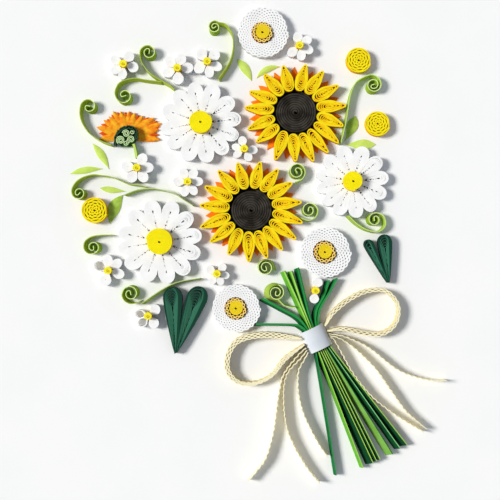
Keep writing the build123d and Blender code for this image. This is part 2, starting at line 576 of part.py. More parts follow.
def stem_wrap():
    """A white paper band that arches over the stems."""
    rise = STRIP_HEIGHT + WRAP_HEADROOM + WRAP_PAPER
    shoulder = rise - WRAP_ARCH

    def arch(inset):
        curve = []
        for i in range(WRAP_STEPS + 1):
            turn = pi * i / WRAP_STEPS
            curve.append(((WRAP_HALF_WIDTH - inset) * cos(turn), shoulder + (WRAP_ARCH - inset) * sin(turn)))
        return [(WRAP_HALF_WIDTH - inset, 0.0)] + curve + [(inset - WRAP_HALF_WIDTH, 0.0)]

    corners = []
    for across, up in arch(0.0) + arch(WRAP_PAPER)[::-1]:
        x, y = wrap_point(across, -WRAP_LENGTH / 2)
        corners.append((x, y, CARD_THICKNESS + up))
    heading = radians(WRAP_HEADING)
    band = extrude(make_face(Polyline(*corners, close=True)), WRAP_LENGTH, dir=(cos(heading), sin(heading), 0))
    save("stem_wrap", [band])


def bow():
    """Loops of doubled crimped strip and single crimped tails, from both sides of the wrap."""
    half_pitch = CRIMP_PITCH / 2
    seat = WRAP_HALF_WIDTH + CLEARANCE + 0.75 * BOW_END_HALF_WIDTH
    for name, route in BOW_LOOPS.items():
        side, (first, last) = BOW_LOOP_SEATS[name]
        route = [wrap_point(side * seat, first) + (BOW_END_HALF_WIDTH,)] + list(route)
        route.append(wrap_point(side * seat, last) + (BOW_END_HALF_WIDTH,))
        path = evenly(smooth(route, 1.5), half_pitch)
        widths = [max(BOW_END_HALF_WIDTH, half_width) - BOW_CRIMP * (i % 2)
                  for i, (_, _, half_width) in enumerate(path)]
        save(name, [slab(ribbon(path, widths), CARD_THICKNESS, BOW_HEIGHT)])
    tails = []
    for side, along, route in BOW_TAILS:
        path = evenly(smooth([wrap_point(side * seat, along)] + list(route), 2.0), half_pitch * 2)
        path = beside(path, [TAIL_CRIMP * (1 if i % 2 else -1) for i in range(len(path))])
        tails.append(strip(path, TAIL_THICKNESS, BOW_HEIGHT))
    save("bow_tails", tails)


os.makedirs("parts", exist_ok=True)
save("backing_card", [backing_card()])
for flower in SUNFLOWER_PLACES:
    sunflower(flower)
for flower in DAISIES:
    daisy(flower)
for flower in ROSETTES:
    rosette(flower)
for flower in ROSES:
    rose(flower)
for flower_number, (place, petal_reach, petal_angles) in enumerate(SMALL_FLOWERS, start=1):
    small_flower(flower_number, place, petal_reach, petal_angles)
small_cores()
back_view_flower()
scrolls()
save("vines", [strip(smooth(route, 4.0), STRIP_THICKNESS) for route in VINES])
flat_leaves()
for leaf in HEART_LOBES:
    heart_leaf(leaf)
stems()
stem_wrap()
bow()
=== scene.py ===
"""Quilled paper bouquet: strips of paper on edge, rolled, pinched and curled on a white card.

Sizes are millimetres in the frame of the solids: +Z up out of the card, +Y to the top of the picture.
Angles are degrees, anticlockwise from +X seen from above.
"""
from math import cos, hypot, pi, radians, sin
import random

import bmesh
import bpy
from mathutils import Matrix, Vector


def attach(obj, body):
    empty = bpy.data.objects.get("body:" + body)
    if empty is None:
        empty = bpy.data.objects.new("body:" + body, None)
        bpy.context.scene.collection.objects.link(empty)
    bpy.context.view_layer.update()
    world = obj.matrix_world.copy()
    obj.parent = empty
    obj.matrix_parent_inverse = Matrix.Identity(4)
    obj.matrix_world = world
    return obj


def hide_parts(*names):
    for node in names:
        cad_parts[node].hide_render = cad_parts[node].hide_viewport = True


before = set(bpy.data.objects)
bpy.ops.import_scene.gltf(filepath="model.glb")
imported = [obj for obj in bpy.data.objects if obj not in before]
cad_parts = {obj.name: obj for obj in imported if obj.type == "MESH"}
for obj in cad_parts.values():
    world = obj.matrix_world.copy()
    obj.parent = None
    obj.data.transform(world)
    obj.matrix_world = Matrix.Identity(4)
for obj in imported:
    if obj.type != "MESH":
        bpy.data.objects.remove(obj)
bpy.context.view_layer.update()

# Backing card. A square of stiff white card with a light tooth; every strip stands on it on edge and
# is held by a little glue.
MM = 0.001
CARD_TOP = 1.5
CARD_WHITE = (251, 251, 251)
CARD_CLOUD = (249, 249, 250)
PAPER_GRAIN = 0.25
TOOTH_DEPTH = 0.05


def dye(colour):
    """A screen colour of 0 to 255 as the linear colour that Blender works in."""
    parts = [value / 255 for value in colour]
    return tuple(v / 12.92 if v <= 0.04045 else ((v + 0.055) / 1.055) ** 2.4 for v in parts) + (1.0,)


def add_node(tree, kind, inputs, **settings):
    """A new node with its settings made and its inputs linked or set; gives back its outputs."""
    node = tree.nodes.new(kind)
    for key, value in settings.items():
        setattr(node, key, value)
    for socket, source in inputs.items():
        if hasattr(source, "is_output"):
            tree.links.new(source, node.inputs[socket])
        else:
            node.inputs[socket].default_value = source
    return node.outputs


def paper(name, colour, cloud, through=0.0, cloud_size=5.0, tooth=0.1, roughness=0.85):
    """Matt paper: slightly cloudy colour, a fine tooth, and some of the light let through."""
    material = bpy.data.materials.new(name)
    material.use_nodes = True
    tree = material.node_tree
    tree.nodes.clear()
    where = add_node(tree, "ShaderNodeTexCoord", {})["Object"]
    cloudy, grainy = [
        add_node(tree, "ShaderNodeTexNoise", {"Vector": where, "Scale": 1 / (size * MM), "Detail": fine})[0]
        for size, fine in ((cloud_size, 4.0), (PAPER_GRAIN, 3.0))]
    clouds = tree.nodes.new("ShaderNodeValToRGB")
    for stop, share, shade in zip(clouds.color_ramp.elements, (0.35, 0.6), (cloud, colour)):
        stop.position = share
        stop.color = dye(shade)
    tree.links.new(cloudy, clouds.inputs["Fac"])
    dyed = clouds.outputs["Color"]
    toothed = add_node(tree, "ShaderNodeBump", {
        "Strength": tooth, "Distance": TOOTH_DEPTH * MM, "Height": grainy})["Normal"]
    surface = add_node(tree, "ShaderNodeBsdfPrincipled", {
        "Base Color": dyed, "Roughness": roughness, "Specular IOR Level": 0.2, "Normal": toothed})["BSDF"]
    if through:
        glow = add_node(tree, "ShaderNodeBsdfTranslucent", {"Color": dyed})["BSDF"]
        surface = add_node(tree, "ShaderNodeMixShader", {"Fac": through, 1: surface, 2: glow})["Shader"]
    add_node(tree, "ShaderNodeOutputMaterial", {"Surface": surface})
    return material


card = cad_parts["backing_card"]
card.data.materials.clear()
card.data.materials.append(paper("Card white", CARD_WHITE, CARD_CLOUD, cloud_size=30.0, tooth=0.25))

# Sunflower petals. A long yellow strip on edge, rolled round a pin from the heart of each petal, let go
# a little and pinched to a point at its outer end, sixteen petals glued in a ring round the seed coil.
SHEET_THICKNESS = 0.25
STRIP_HEIGHT = 3.0
FLOWER_FLOOR = CARD_TOP + SHEET_THICKNESS
SUNFLOWERS = {"sunflower_upper": (18.2, 55.0), "sunflower_lower": (0.4, 16.0)}
SUNFLOWER_TIPS = {   # each petal's angle and the radius of its tip
    "sunflower_upper": ((105, 19.5), (77.9, 19.7), (56.0, 20.0), (31.9, 20.4), (7.6, 20.5), (-15.9, 20.0),
                        (-35.5, 21.3), (-51, 20.9), (-69.7, 21.0), (-90, 19.8), (-112.9, 20.8),
                        (-142.7, 19.8), (-160.2, 20.3), (174.8, 20.4), (156.0, 20.3), (129.7, 19.8)),
    "sunflower_lower": ((105.9, 19.8), (79.1, 19.8), (56.5, 19.8), (33.5, 19.9), (8.8, 20.6), (-13.9, 21.4),
                        (-32.9, 21.6), (-51.8, 20.6), (-71.6, 20.5), (-92.3, 21.0), (-116.7, 20.3),
                        (-141.6, 21.0), (-160.7, 21.6), (174.9, 20.7), (153.1, 20.9), (129.9, 20.7)),
}
SEED_RADIUS = 8.45
SEED_GAP = 0.1
PETAL_WAIST = 2.5
WAIST_EASE = 1.1
PETAL_ROLL = 0.46
PETAL_RIM = 0.42
RIM_INSET = 0.9
PETAL_STRIP = 0.31
PETAL_PITCH = 0.37
PETAL_BLUNT = 0.12
TURN_DROP = 0.01
SHARP_EDGE = 40
random.seed(7)


def standing_strip_tree():
    """Geometry nodes that raise lines into paper strips on edge, which may waver a little."""
    tree = bpy.data.node_groups.new("Standing strip", "GeometryNodeTree")
    for name, kind in (("Lines", "Geometry"), ("Strip thickness", "Float"), ("Strip height", "Float"),
                       ("Waver", "Float"), ("Edge rounding", "Float"), ("Paper", "Material"),
                       ("Cut edge", "Material")):
        tree.interface.new_socket(name=name, in_out="INPUT", socket_type="NodeSocket" + kind)
    tree.interface.new_socket(name="Strips", in_out="OUTPUT", socket_type="NodeSocketGeometry")
    given = tree.nodes.new("NodeGroupInput").outputs

    def put(kind, inputs, **settings):
        return add_node(tree, kind, inputs, **settings)

    def sum_up(operation, a, b):
        return put("ShaderNodeMath", {0: a, 1: b}, operation=operation)[0]

    def above(value, limit):
        return put("FunctionNodeCompare", {"A": value, "B": limit}, data_type="FLOAT",
                   operation="GREATER_THAN")[0]

    wander = put("ShaderNodeTexNoise", {"Scale": 900.0, "Detail": 1.0})[0]
    waver = sum_up("MULTIPLY", sum_up("SUBTRACT", wander, 0.5), given["Waver"])
    sideways = put("ShaderNodeVectorMath", {0: put("GeometryNodeInputNormal", {})[0], "Scale": waver},
                   operation="SCALE")[0]
    lines = put("GeometryNodeSetPosition", {"Geometry": given["Lines"], "Offset": sideways})[0]
    lines = put("GeometryNodeSetCurveNormal", {"Curve": lines}, mode="Z_UP")[0]
    block = put("GeometryNodeCurvePrimitiveQuadrilateral",
                {"Width": given["Strip thickness"], "Height": given["Strip height"]}, mode="RECTANGLE")[0]
    soft = put("GeometryNodeFilletCurve", {"Curve": block, "Radius": given["Edge rounding"], "Count": 1},
               mode="POLY")[0]
    profile = put("GeometryNodeSwitch", {"Switch": above(given["Edge rounding"], 0.0), "False": block,
                                         "True": soft}, input_type="GEOMETRY")[0]
    up = put("ShaderNodeCombineXYZ", {"Y": sum_up("MULTIPLY", given["Strip height"], -0.5)})[0]
    profile = put("GeometryNodeSetPosition", {"Geometry": profile, "Offset": up})[0]
    strips = put("GeometryNodeCurveToMesh", {"Curve": lines, "Profile Curve": profile, "Fill Caps": True})[0]
    strips = put("GeometryNodeRealizeInstances", {"Geometry": strips})[0]
    strips = put("GeometryNodeSetMaterial", {"Geometry": strips, "Material": given["Paper"]})[0]
    # Painted light: faces that point up take the cut edge paper and the rest take the wall paper, so one
    # strip's top and walls can be coloured apart.
    level = put("ShaderNodeSeparateXYZ", {0: put("GeometryNodeInputNormal", {})[0]})["Z"]
    strips = put("GeometryNodeSetMaterial", {"Geometry": strips, "Selection": above(level, 0.6),
                                             "Material": given["Cut edge"]})[0]
    put("NodeGroupOutput", {"Strips": strips})
    return tree


STANDING_STRIP = standing_strip_tree()


def strip_paper(name, colour, cloud, edge, through=0.4, edge_cloud=(), **finish):
    """Paper for a strip on edge: its walls let light through, and its cut edge on top is solid."""
    # Painted light: the two colours of one paper differ, mostly a paler cut edge as a painted highlight on
    # the lit tops and deeper walls as painted shade in the gaps between the turns.
    edge_cloud = edge_cloud or tuple(round(0.97 * value) for value in edge)
    walls = paper(name, colour, cloud, through, **finish)
    return (walls, paper(name + " cut edge", edge, edge_cloud, **finish))


def add_object(name, data):
    """A new object in the scene."""
    made = bpy.data.objects.new(name, data)
    bpy.context.scene.collection.objects.link(made)
    return made


def place(mesh, node):
    """A finished mesh as the piece that stands for a solid."""
    mesh.shade_smooth()
    mesh.set_sharp_from_angle(angle=radians(SHARP_EDGE))
    piece = add_object(mesh.name, mesh)
    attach(piece, "root")
    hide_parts(node)


def raised(lines, papers, thickness, height=STRIP_HEIGHT, floor=CARD_TOP, waver=0.0, rounding=0.0,
           lean=(0.0, 0.0)):
    """Strips on edge along lines from above, as one mesh; a line may say how far it stands off the floor."""
    curve = bpy.data.curves.new("strip_lines", "CURVE")
    curve.dimensions = "3D"
    for line in lines:
        spline = curve.splines.new("POLY")
        spline.points.add(len(line) - 1)
        for point, (x, y, *off) in zip(spline.points, line):
            point.co = (x * MM, y * MM, (floor + sum(off)) * MM, 1.0)
    drawn = add_object("strip_lines", curve)
    standing = drawn.modifiers.new("Standing strip", "NODES")
    standing.node_group = STANDING_STRIP
    wanted = {"Strip thickness": thickness * MM, "Strip height": height * MM, "Waver": waver * MM,
              "Edge rounding": rounding * MM, "Paper": papers[0], "Cut edge": papers[1]}
    for socket in STANDING_STRIP.interface.items_tree:
        if socket.in_out == "INPUT" and socket.name in wanted:
            standing[socket.identifier] = wanted[socket.name]
    bpy.context.view_layer.update()
    made = drawn.evaluated_get(bpy.context.evaluated_depsgraph_get())
    mesh = bpy.data.meshes.new_from_object(made)
    bpy.data.objects.remove(drawn)
    for vertex in mesh.vertices:
        share = (vertex.co.z / MM - floor) / height
        vertex.co += Vector((lean[0] * share * MM, lean[1] * share * MM, 0.0))
    return mesh


def stand(node, *meshes):
    """One or more raised meshes, each with its own papers, as the piece that stands for a solid."""
    whole = bmesh.new()
    made = bpy.data.meshes.new(node + "_strips")
    for mesh in meshes:
        done, first = len(whole.faces), len(made.materials)
        for material in mesh.materials:
            made.materials.append(material)
        whole.from_mesh(mesh)
        whole.faces.ensure_lookup_table()
        for face in whole.faces[done:]:
            face.material_index += first
    whole.to_mesh(made)
    whole.free()
    place(made, node)


def polar(centre, radius, angle):
    """The point at a radius and an angle from a centre."""
    return (centre[0] + radius * cos(radians(angle)), centre[1] + radius * sin(radians(angle)))


def heading(start, end):
    """How far it is from one point to another, and the direction that leads there."""
    length = hypot(end[0] - start[0], end[1] - start[1])
    return length, ((end[0] - start[0]) / length, (end[1] - start[1]) / length)


def moved(point, along, forward, aside=0.0):
    """A point moved forward along a direction, and aside to the left of it."""
    return (point[0] + along[0] * forward - along[1] * aside,
            point[1] + along[1] * forward + along[0] * aside)


def pinched_coil(back, tip, waists, roll, strip, pitch=0.3, turns=0, steps=24, heart=0.1, slack=0.1,
                 blunt=0.1, fullness=2.5, drift=0.0, lap=0):
    """The line of a strip rolled from its heart outwards and pinched to a point at its tip.

    The waists are the half widths to the left and to the right of the way to the tip. Each turn lies a
    hair lower than the one outside it. The heart may drift towards the tip, and the last turn may lap
    over its own start by some steps.
    """
    length, along = heading(back, tip)
    middle = moved(back, along, length * roll)
    front = length * (1 - roll)
    narrow = sum(waists) / 2
    turns = turns or max(2, round(narrow * front / hypot(narrow, front) / pitch))
    slips = [random.uniform(-slack, slack) / turns for _ in range(turns)] + [0.0, 0.0]
    sways = [random.uniform(-1.0, 1.0) * slack * strip for _ in range(turns)] + [0.0, 0.0]
    line = []
    for i in range(turns * steps + 1 + lap):
        turn, share = divmod(i, steps)
        share /= steps
        wound = min(i / steps, turns)
        size = heart + (1 - heart) * wound / turns + slips[turn] * (1 - share) + slips[turn + 1] * share
        angle = 2 * pi * share
        side, way = (waists[0], 1) if share < 0.5 else (waists[1], -1)
        if cos(angle) < 0:
            forward = -(length * roll - strip / 2) * size * abs(cos(angle)) ** (2 / fullness)
            aside = (side - strip / 2) * size * abs(sin(angle)) ** (2 / fullness) * way
        else:
            spread = min(share, 1 - share) * 4
            forward = (front - strip / 2) * size * (1 - max(spread, blunt)) / (1 - blunt)
            aside = (side - strip / 2) * size * (1 - (1 - spread) ** 1.25) * way
            aside += sways[turn + (share > 0.5)] * max(0.0, 1 - spread * 2) ** 2
        forward += drift * (1 - size)
        line.append(moved(middle, along, forward, aside) + (-TURN_DROP * (turns - wound),))
    return line


def rimmed_coil(back, tip, waists, roll, rim, strip, pitch, **shape):
    """The lines of a pinched coil's last turns, close as a thick rim, and of the looser turns inside."""
    length, along = heading(back, tip)
    inset = rim * RIM_INSET
    inner_roll = (length * roll - inset) / (length - 2 * inset)
    closed = {key: value for key, value in shape.items() if key != "slack"}
    outside = pinched_coil(back, tip, waists, roll, rim, turns=1, heart=0.98, slack=0.0, **closed)
    inside = pinched_coil(moved(back, along, inset), moved(tip, along, -inset),
                          [waist - inset for waist in waists], inner_roll, strip, pitch, lap=12, **shape)
    return outside, inside


# Painted light: the rim's walls are lighter than the inner turns' walls, and these are a deeper orange than
# their cut edges, as painted shade in the gaps between the turns.
petal_rim = strip_paper("Sunflower rim yellow", (255, 206, 4), (254, 194, 0), (255, 229, 20), through=0.55)
petal_yellow = strip_paper("Sunflower yellow", (255, 180, 0), (252, 152, 0), (255, 230, 14), through=0.6,
                           edge_cloud=(255, 210, 4), cloud_size=2.2)
petal_shade = strip_paper("Sunflower shade between the turns", (255, 166, 0), (250, 148, 0), (252, 170, 4))
PETAL_SPREAD = 0.18
PETAL_SHADE = 0.1
for flower, centre in SUNFLOWERS.items():
    tips = SUNFLOWER_TIPS[flower]
    gaps = [(a[0] - b[0]) % 360.0 for a, b in zip(tips, tips[1:] + tips[:1])]
    rims, petals = [], []
    for i, ((tip, reach), gap) in enumerate(zip(tips, gaps)):
        even = 360.0 / len(tips)
        back = polar(centre, SEED_RADIUS + SEED_GAP, tips[0][0] - even * i)
        waists = [min(PETAL_WAIST, PETAL_WAIST * WAIST_EASE * side / even) for side in (gaps[i - 1], gap)]
        rim, petal = rimmed_coil(back, polar(centre, reach, tip), waists, PETAL_ROLL, PETAL_RIM, PETAL_STRIP,
                                 PETAL_PITCH, blunt=PETAL_BLUNT, slack=0.3)
        rims.append(rim)
        petals.append(petal)
    stand(flower + "_petals", raised(rims, petal_rim, PETAL_RIM, floor=FLOWER_FLOOR),
          raised(petals, petal_yellow, PETAL_STRIP, floor=FLOWER_FLOOR),
          raised(petals, petal_shade, PETAL_STRIP + PETAL_SPREAD, height=STRIP_HEIGHT - PETAL_SHADE,
                 floor=FLOWER_FLOOR))

# Seed coils. Black-brown strips with a slight sheen, rolled into a wide coil in the middle of each
# sunflower and glued down on the black disc that its petals share.
SEED_HEART = 0.5
SEED_PITCH = 0.92
SEED_STRIP = 0.78


def spiral(centre, first, last, pitch, steps, start=0.0):
    """The line of a strip rolled evenly from one radius out to another."""
    count = max(2, round((last - first) / pitch * steps))
    return [polar(centre, first + (last - first) * i / count, start + 360.0 * i / steps)
            for i in range(count + 1)]


# Painted highlight: the paler grey clouds on the cut edges stand for glints along the turns; the slight sheen
# itself comes from the low roughness.
seed_black = strip_paper("Seed black", (28, 24, 20), (22, 19, 16), (36, 32, 26), through=0.0,
                         edge_cloud=(68, 63, 56), cloud_size=3.5, roughness=0.4)
for flower, centre in SUNFLOWERS.items():
    roll = spiral(centre, SEED_HEART, SEED_RADIUS - SEED_STRIP / 2, SEED_PITCH, 48)
    stand(flower + "_seed_coil", raised([roll], seed_black, SEED_STRIP, floor=FLOWER_FLOOR, rounding=0.16,
                                       waver=0.05))

# Sunflower back petals. Points cut from orange paper, lightly creased, glued flat under the pinched
# petals so that they show between them.
BACK_TIP_RADIUS = 18.7
BACK_FOOT_RADIUS = 9.5
BACK_DISC_RADIUS = 10.5
BACK_HALF_WIDTH = 1.9
BLADE_THICKNESS = 0.2


def close_sheet(mesh, rings):
    """The faces of a sheet, from rings of corners that run along one side of it and back on the other."""
    for ring_a, ring_b in zip(rings, rings[1:]):
        for j in range(len(ring_a)):
            mesh.faces.new((ring_a[j - 1], ring_a[j], ring_b[j], ring_b[j - 1]))
    for ring in (rings[0], rings[-1]):
        for j in range(len(ring) // 2 - 1):
            mesh.faces.new((ring[j], ring[-1 - j], ring[-2 - j], ring[j + 1]))


def blade(mesh, spine, half_widths, crowns, floor, thickness, look=0):
    """One cut leaf or petal: a thin sheet along a spine, raised along its middle, added to a mesh."""
    rings, done = [], len(mesh.faces)
    for i, (point, half, crown) in enumerate(zip(spine, half_widths, crowns)):
        _, along = heading(spine[max(i - 1, 0)], spine[min(i + 1, len(spine) - 1)])
        low, high = [], []
        for share in (-1, -0.5, 0, 0.5, 1):
            x, y = moved(point, along, 0.0, half * share)
            z = floor + crown * (1 - share * share)
            low.append(mesh.verts.new((x * MM, y * MM, z * MM)))
            high.append(mesh.verts.new((x * MM, y * MM, (z + thickness) * MM)))
        rings.append(low + high[::-1])
    close_sheet(mesh, rings)
    mesh.faces.ensure_lookup_table()
    for face in mesh.faces[done:]:
        face.material_index = look


def finish_sheet(mesh, name, node, *materials):
    """Merged and smoothed sheets as the piece that stands for a solid."""
    bmesh.ops.remove_doubles(mesh, verts=mesh.verts, dist=0.002 * MM)
    bmesh.ops.recalc_face_normals(mesh, faces=mesh.faces)
    made = bpy.data.meshes.new(name)
    mesh.to_mesh(made)
    mesh.free()
    for material in materials:
        made.materials.append(material)
    place(made, node)


orange = paper("Back petal orange", (255, 146, 22), (244, 122, 10), cloud_size=3.0)
# The black disc is the backing under the seed coil; where it shows between the petals' round ends, its black
# is painted shade.
backing_black_and_painted_shade = paper("Backing black", (30, 24, 20), (24, 20, 17))
for flower, centre in SUNFLOWERS.items():
    tips = SUNFLOWER_TIPS[flower]
    sheet = bmesh.new()
    disc = bmesh.ops.create_circle(sheet, cap_ends=True, segments=32, radius=BACK_DISC_RADIUS * MM)
    lower = disc["verts"][0].link_faces[0]
    lifted = bmesh.ops.extrude_face_region(sheet, geom=[lower])["geom"]
    bmesh.ops.translate(sheet, verts=[v for v in lifted if isinstance(v, bmesh.types.BMVert)],
                        vec=(0.0, 0.0, SHEET_THICKNESS * MM))
    bmesh.ops.translate(sheet, verts=sheet.verts, vec=Vector((*centre, CARD_TOP)) * MM)
    for face in sheet.faces:
        face.material_index = 1
    for (a, _), (b, _) in zip(tips, tips[1:] + tips[:1]):
        middle = a - ((a - b) % 360.0) / 2
        shares = [i / 8 for i in range(9)]
        reach = BACK_TIP_RADIUS * random.uniform(0.985, 1.0)
        spine = [polar(centre, BACK_FOOT_RADIUS + (reach - BACK_FOOT_RADIUS) * t, middle) for t in shares]
        widths = [BACK_HALF_WIDTH * (1 - max(0.0, (t - 0.45) / 0.55) ** 1.8) + 0.02 for t in shares]
        crowns = [0.5 * max(0.0, t - 0.35) for t in shares]
        blade(sheet, spine, widths, crowns, CARD_TOP, BLADE_THICKNESS)
    finish_sheet(sheet, flower + "_back_blades", flower + "_back_petals", orange, backing_black_and_painted_shade)

# Daisy petals. Strips of white paper rolled, let go and pinched at the heart end, round end outwards,
# twelve to a flower, each glued against its neighbours.
DAISIES = {   # centre, reach of the petals, radius of the yellow centre, angles of the petals
    "daisy_upper": ((-19.7, 50.9), 16.4, 4.7, (100, 69, 35, 5, -21, -50, -80, -112, -145, -169, -200, -231)),
    "daisy_left": ((-36.0, 3.3), 17.2, 5.4, (103, 70, 41, 9, -18, -49, -78, -111, -144, -171, -193, -225)),
    "daisy_right": ((40.9, 27.4), 14.8, 4.05, (138, 107, 70, 38, 6, -23, -54, -82, -116, -142, -168, -191)),
}
DAISY_WAIST = 3.6
CLOSE_PITCH = 0.26
LOOSE_PITCH = 0.36
LOOSE_SIDE = (-60, 50)   # angles between which petals are rolled loosely
DAISY_ROLL = 0.32
DAISY_FOOT = 0.4
WHITE_STRIP = 0.42


def room_beside(angle, other, reach):
    """Half the width that a round petal can have before it meets the petal at the other angle."""
    share = sin(radians(abs((angle - other + 180) % 360 - 180) / 2))
    return reach * share / (1 + share)


white = strip_paper("Petal white", (253, 253, 253), (251, 251, 251), (254, 254, 254), through=0.45)
for flower, (centre, reach, eye_radius, angles) in DAISIES.items():
    petals = []
    for i, angle in enumerate(angles):
        sides = (angles[(i + 1) % len(angles)], angles[i - 1])
        waists = [min(DAISY_WAIST, room_beside(angle, other, reach)) for other in sides]
        foot = polar(centre, eye_radius * DAISY_FOOT, angle)
        pitch = LOOSE_PITCH if LOOSE_SIDE[0] < angle < LOOSE_SIDE[1] else CLOSE_PITCH
        petal = pinched_coil(polar(centre, reach, angle), foot, waists, DAISY_ROLL, WHITE_STRIP, pitch,
                             blunt=PETAL_BLUNT, fullness=2.2, slack=0.28)
        petals.append([(x, y, off - TURN_DROP / 3 * (i % 2)) for x, y, off in petal])
    stand(flower + "_petals", raised(petals, white, WHITE_STRIP))

# Daisy centres. A strip of yellow paper rolled tight, turn against turn, and glued on top of the
# pinched ends of the petals.
EYE_STRIP = 0.49
EYE_PITCH = 0.5
COIL_HEART = 0.42   # radius at which a tight coil starts
centre_yellow = strip_paper("Centre yellow", (255, 222, 2), (254, 212, 0), (255, 238, 4))
for flower, (centre, reach, eye_radius, angles) in DAISIES.items():
    roll = spiral(centre, COIL_HEART, eye_radius - 0.24, EYE_PITCH, 32)
    stand(flower + "_centre", raised([roll], centre_yellow, EYE_STRIP, floor=CARD_TOP + STRIP_HEIGHT,
                                     rounding=0.06))

# Rosettes. White strip run through a crimper and rolled so that its crests meet, round a taller heart
# of plain yellow strip with two turns of crimped pale gold strip round it.
ROSETTES = {   # centre, radius, heart centre, heart radius
    "rosette_top": ((5.2, 87.2), 10.4, (4.9, 86.95), 4.3),
    "rosette_right": ((30.2, -0.8), 10.4, (29.8, -0.7), 4.6),
    "rosette_left": ((-5.5, -23.2), 9.9, (-5.7, -23.2), 4.5),
}
ROSETTE_STRIP = 0.62
CRIMP_TURN = 0.56
CRIMP_DEPTH = 0.19
CRIMP_WAVES = 24
CRIMP_STEPS = 196
HEART_TOP = STRIP_HEIGHT + 0.7
HEART_CORE = 3.0
CORE_STRIP = 0.38
CORE_PITCH = 0.44
FRILL_STRIP = 0.35
FRILL_TURN = 0.5
FRILL_DEPTH = 0.24
FRILL_WAVES = 12
SHADE_STRIP = 0.54


def crimped_roll(inner, outer, pitch, depth, waves):
    """The line of a crimped strip rolled from one circle out to another, crests against the turn inside."""
    (a, inner_radius), (b, outer_radius) = inner, outer
    turns = max(1, round((outer_radius - inner_radius) / pitch))
    line = []
    for i in range(turns * CRIMP_STEPS + 1):
        share = i / (turns * CRIMP_STEPS)
        wave = depth * sin(2 * pi * (waves + 0.5) * i / CRIMP_STEPS)
        radius = inner_radius + (outer_radius - inner_radius) * share + wave * random.uniform(0.8, 1.1)
        middle = (a[0] + (b[0] - a[0]) * share, a[1] + (b[1] - a[1]) * share)
        line.append(polar(middle, radius, 360.0 * i / CRIMP_STEPS) + (-TURN_DROP * turns * (1 - share),))
    return line


# Painted shade: the walls of the yellow core and of the pale gold frill are deeper orange and brown than
# their cut edges, for the shade in the gaps between the turns.
gold_core = strip_paper("Heart yellow", (255, 160, 0), (252, 146, 0), (255, 224, 32))
heart_gold = strip_paper("Heart pale gold", (226, 140, 34), (210, 122, 26), (255, 224, 124))
heart_shade = strip_paper("Heart shade between the turns", (224, 148, 44), (208, 132, 32), (218, 146, 46))
for flower, (centre, radius, heart_centre, heart_radius) in ROSETTES.items():
    roll = crimped_roll((heart_centre, heart_radius + 0.1), (centre, radius - 0.45), CRIMP_TURN,
                        CRIMP_DEPTH, CRIMP_WAVES)
    stand(flower + "_coil", raised([roll], white, ROSETTE_STRIP))
    core = spiral(heart_centre, COIL_HEART, HEART_CORE - 0.2, CORE_PITCH, 30)
    frill = crimped_roll((heart_centre, HEART_CORE), (heart_centre, heart_radius - 0.4), FRILL_TURN,
                         FRILL_DEPTH, FRILL_WAVES)
    stand(flower + "_heart", raised([core], gold_core, CORE_STRIP, height=HEART_TOP),
          raised([frill], heart_shade, SHADE_STRIP, height=HEART_TOP - 0.2),
          raised([frill], heart_gold, FRILL_STRIP, height=HEART_TOP - TURN_DROP))

# Yellow roses. Strips of bright yellow paper, lightly crimped and rolled tight on edge, with a plain
# last turn glued down on itself.
ROSES = {   # centre, radius
    "yellow_rose_left": ((-62.2, 16.0), 5.35),
    "yellow_rose_upper_right": ((43.4, 76.0), 5.2),
    "yellow_rose_lower_right": ((51.0, 50.6), 5.15),
}
ROSE_STRIP = 0.46
ROSE_TURN = 0.58
ROSE_DEPTH = 0.15
ROSE_WAVES = 5
ROSE_SHADE = 0.18
rose_yellow = strip_paper("Rose yellow", (255, 212, 8), (255, 200, 2), (255, 234, 14))
rose_shade = strip_paper("Rose shade between the turns", (255, 212, 8), (255, 200, 2), (240, 164, 4))
for flower, (centre, radius) in ROSES.items():
    roll = crimped_roll((centre, 0.45), (centre, radius - 0.75), ROSE_TURN, ROSE_DEPTH, ROSE_WAVES)
    roll += [point + (0.0,) for point in spiral(centre, radius - 0.72, radius - 0.24, 0.5, 40)[2:]]
    stand(flower, raised([roll], rose_yellow, ROSE_STRIP),
          raised([roll], rose_shade, SHADE_STRIP, height=STRIP_HEIGHT - ROSE_SHADE))

# Small filler flowers. Short white strips rolled and pinched round a tall, tight yellow coil; three of
# the petals are open loops.
SMALL_FLOWERS = (   # centre, reach, angles of the petals
    ((-50.4, 74.0), 6.1, (57, -15, -98, -150, 150)),
    ((-28.9, 72.4), 6.4, (70, 5, -88, -160, 135)),
    ((-17.0, 75.0), 6.4, (45, -25, -80, -145, 125)),
    ((19.8, 81.4), 5.9, (100, 38, -22, -80, -142)),
    ((-2.2, 40.3), 5.4, (103, -5, -65, -146, 166)),
    ((-45.0, 32.7), 6.6, (62, 3, -57, -122, 170)),
    ((-24.8, 27.2), 6.2, (56, 2, -58, -108, 175, 115)),
    ((-56.4, -8.2), 6.6, (154, 95, 40, -19, -110)),
    ((-13.1, -9.5), 5.1, (50, -12, -68, -125, 150)),
    ((-40.5, -26.3), 5.8, (44, -56, -135, 168)),
    ((26.2, -16.2), 5.3, (72, -100)),
)
OPEN_LOOPS = {8: (154,), 10: (-135, 168)}   # flower number, and its petals that are open loops
LOOP_STRIP = 0.3
FILLER_WAIST = 2.45
FILLER_ROLL = 0.5
FILLER_PITCH = 0.2
FILLER_FULLNESS = 2.1
CORE_RADIUS = 1.7
CORE_HEIGHT = 5.0
SPOT_STRIP = 0.44
cores, spots = [], []
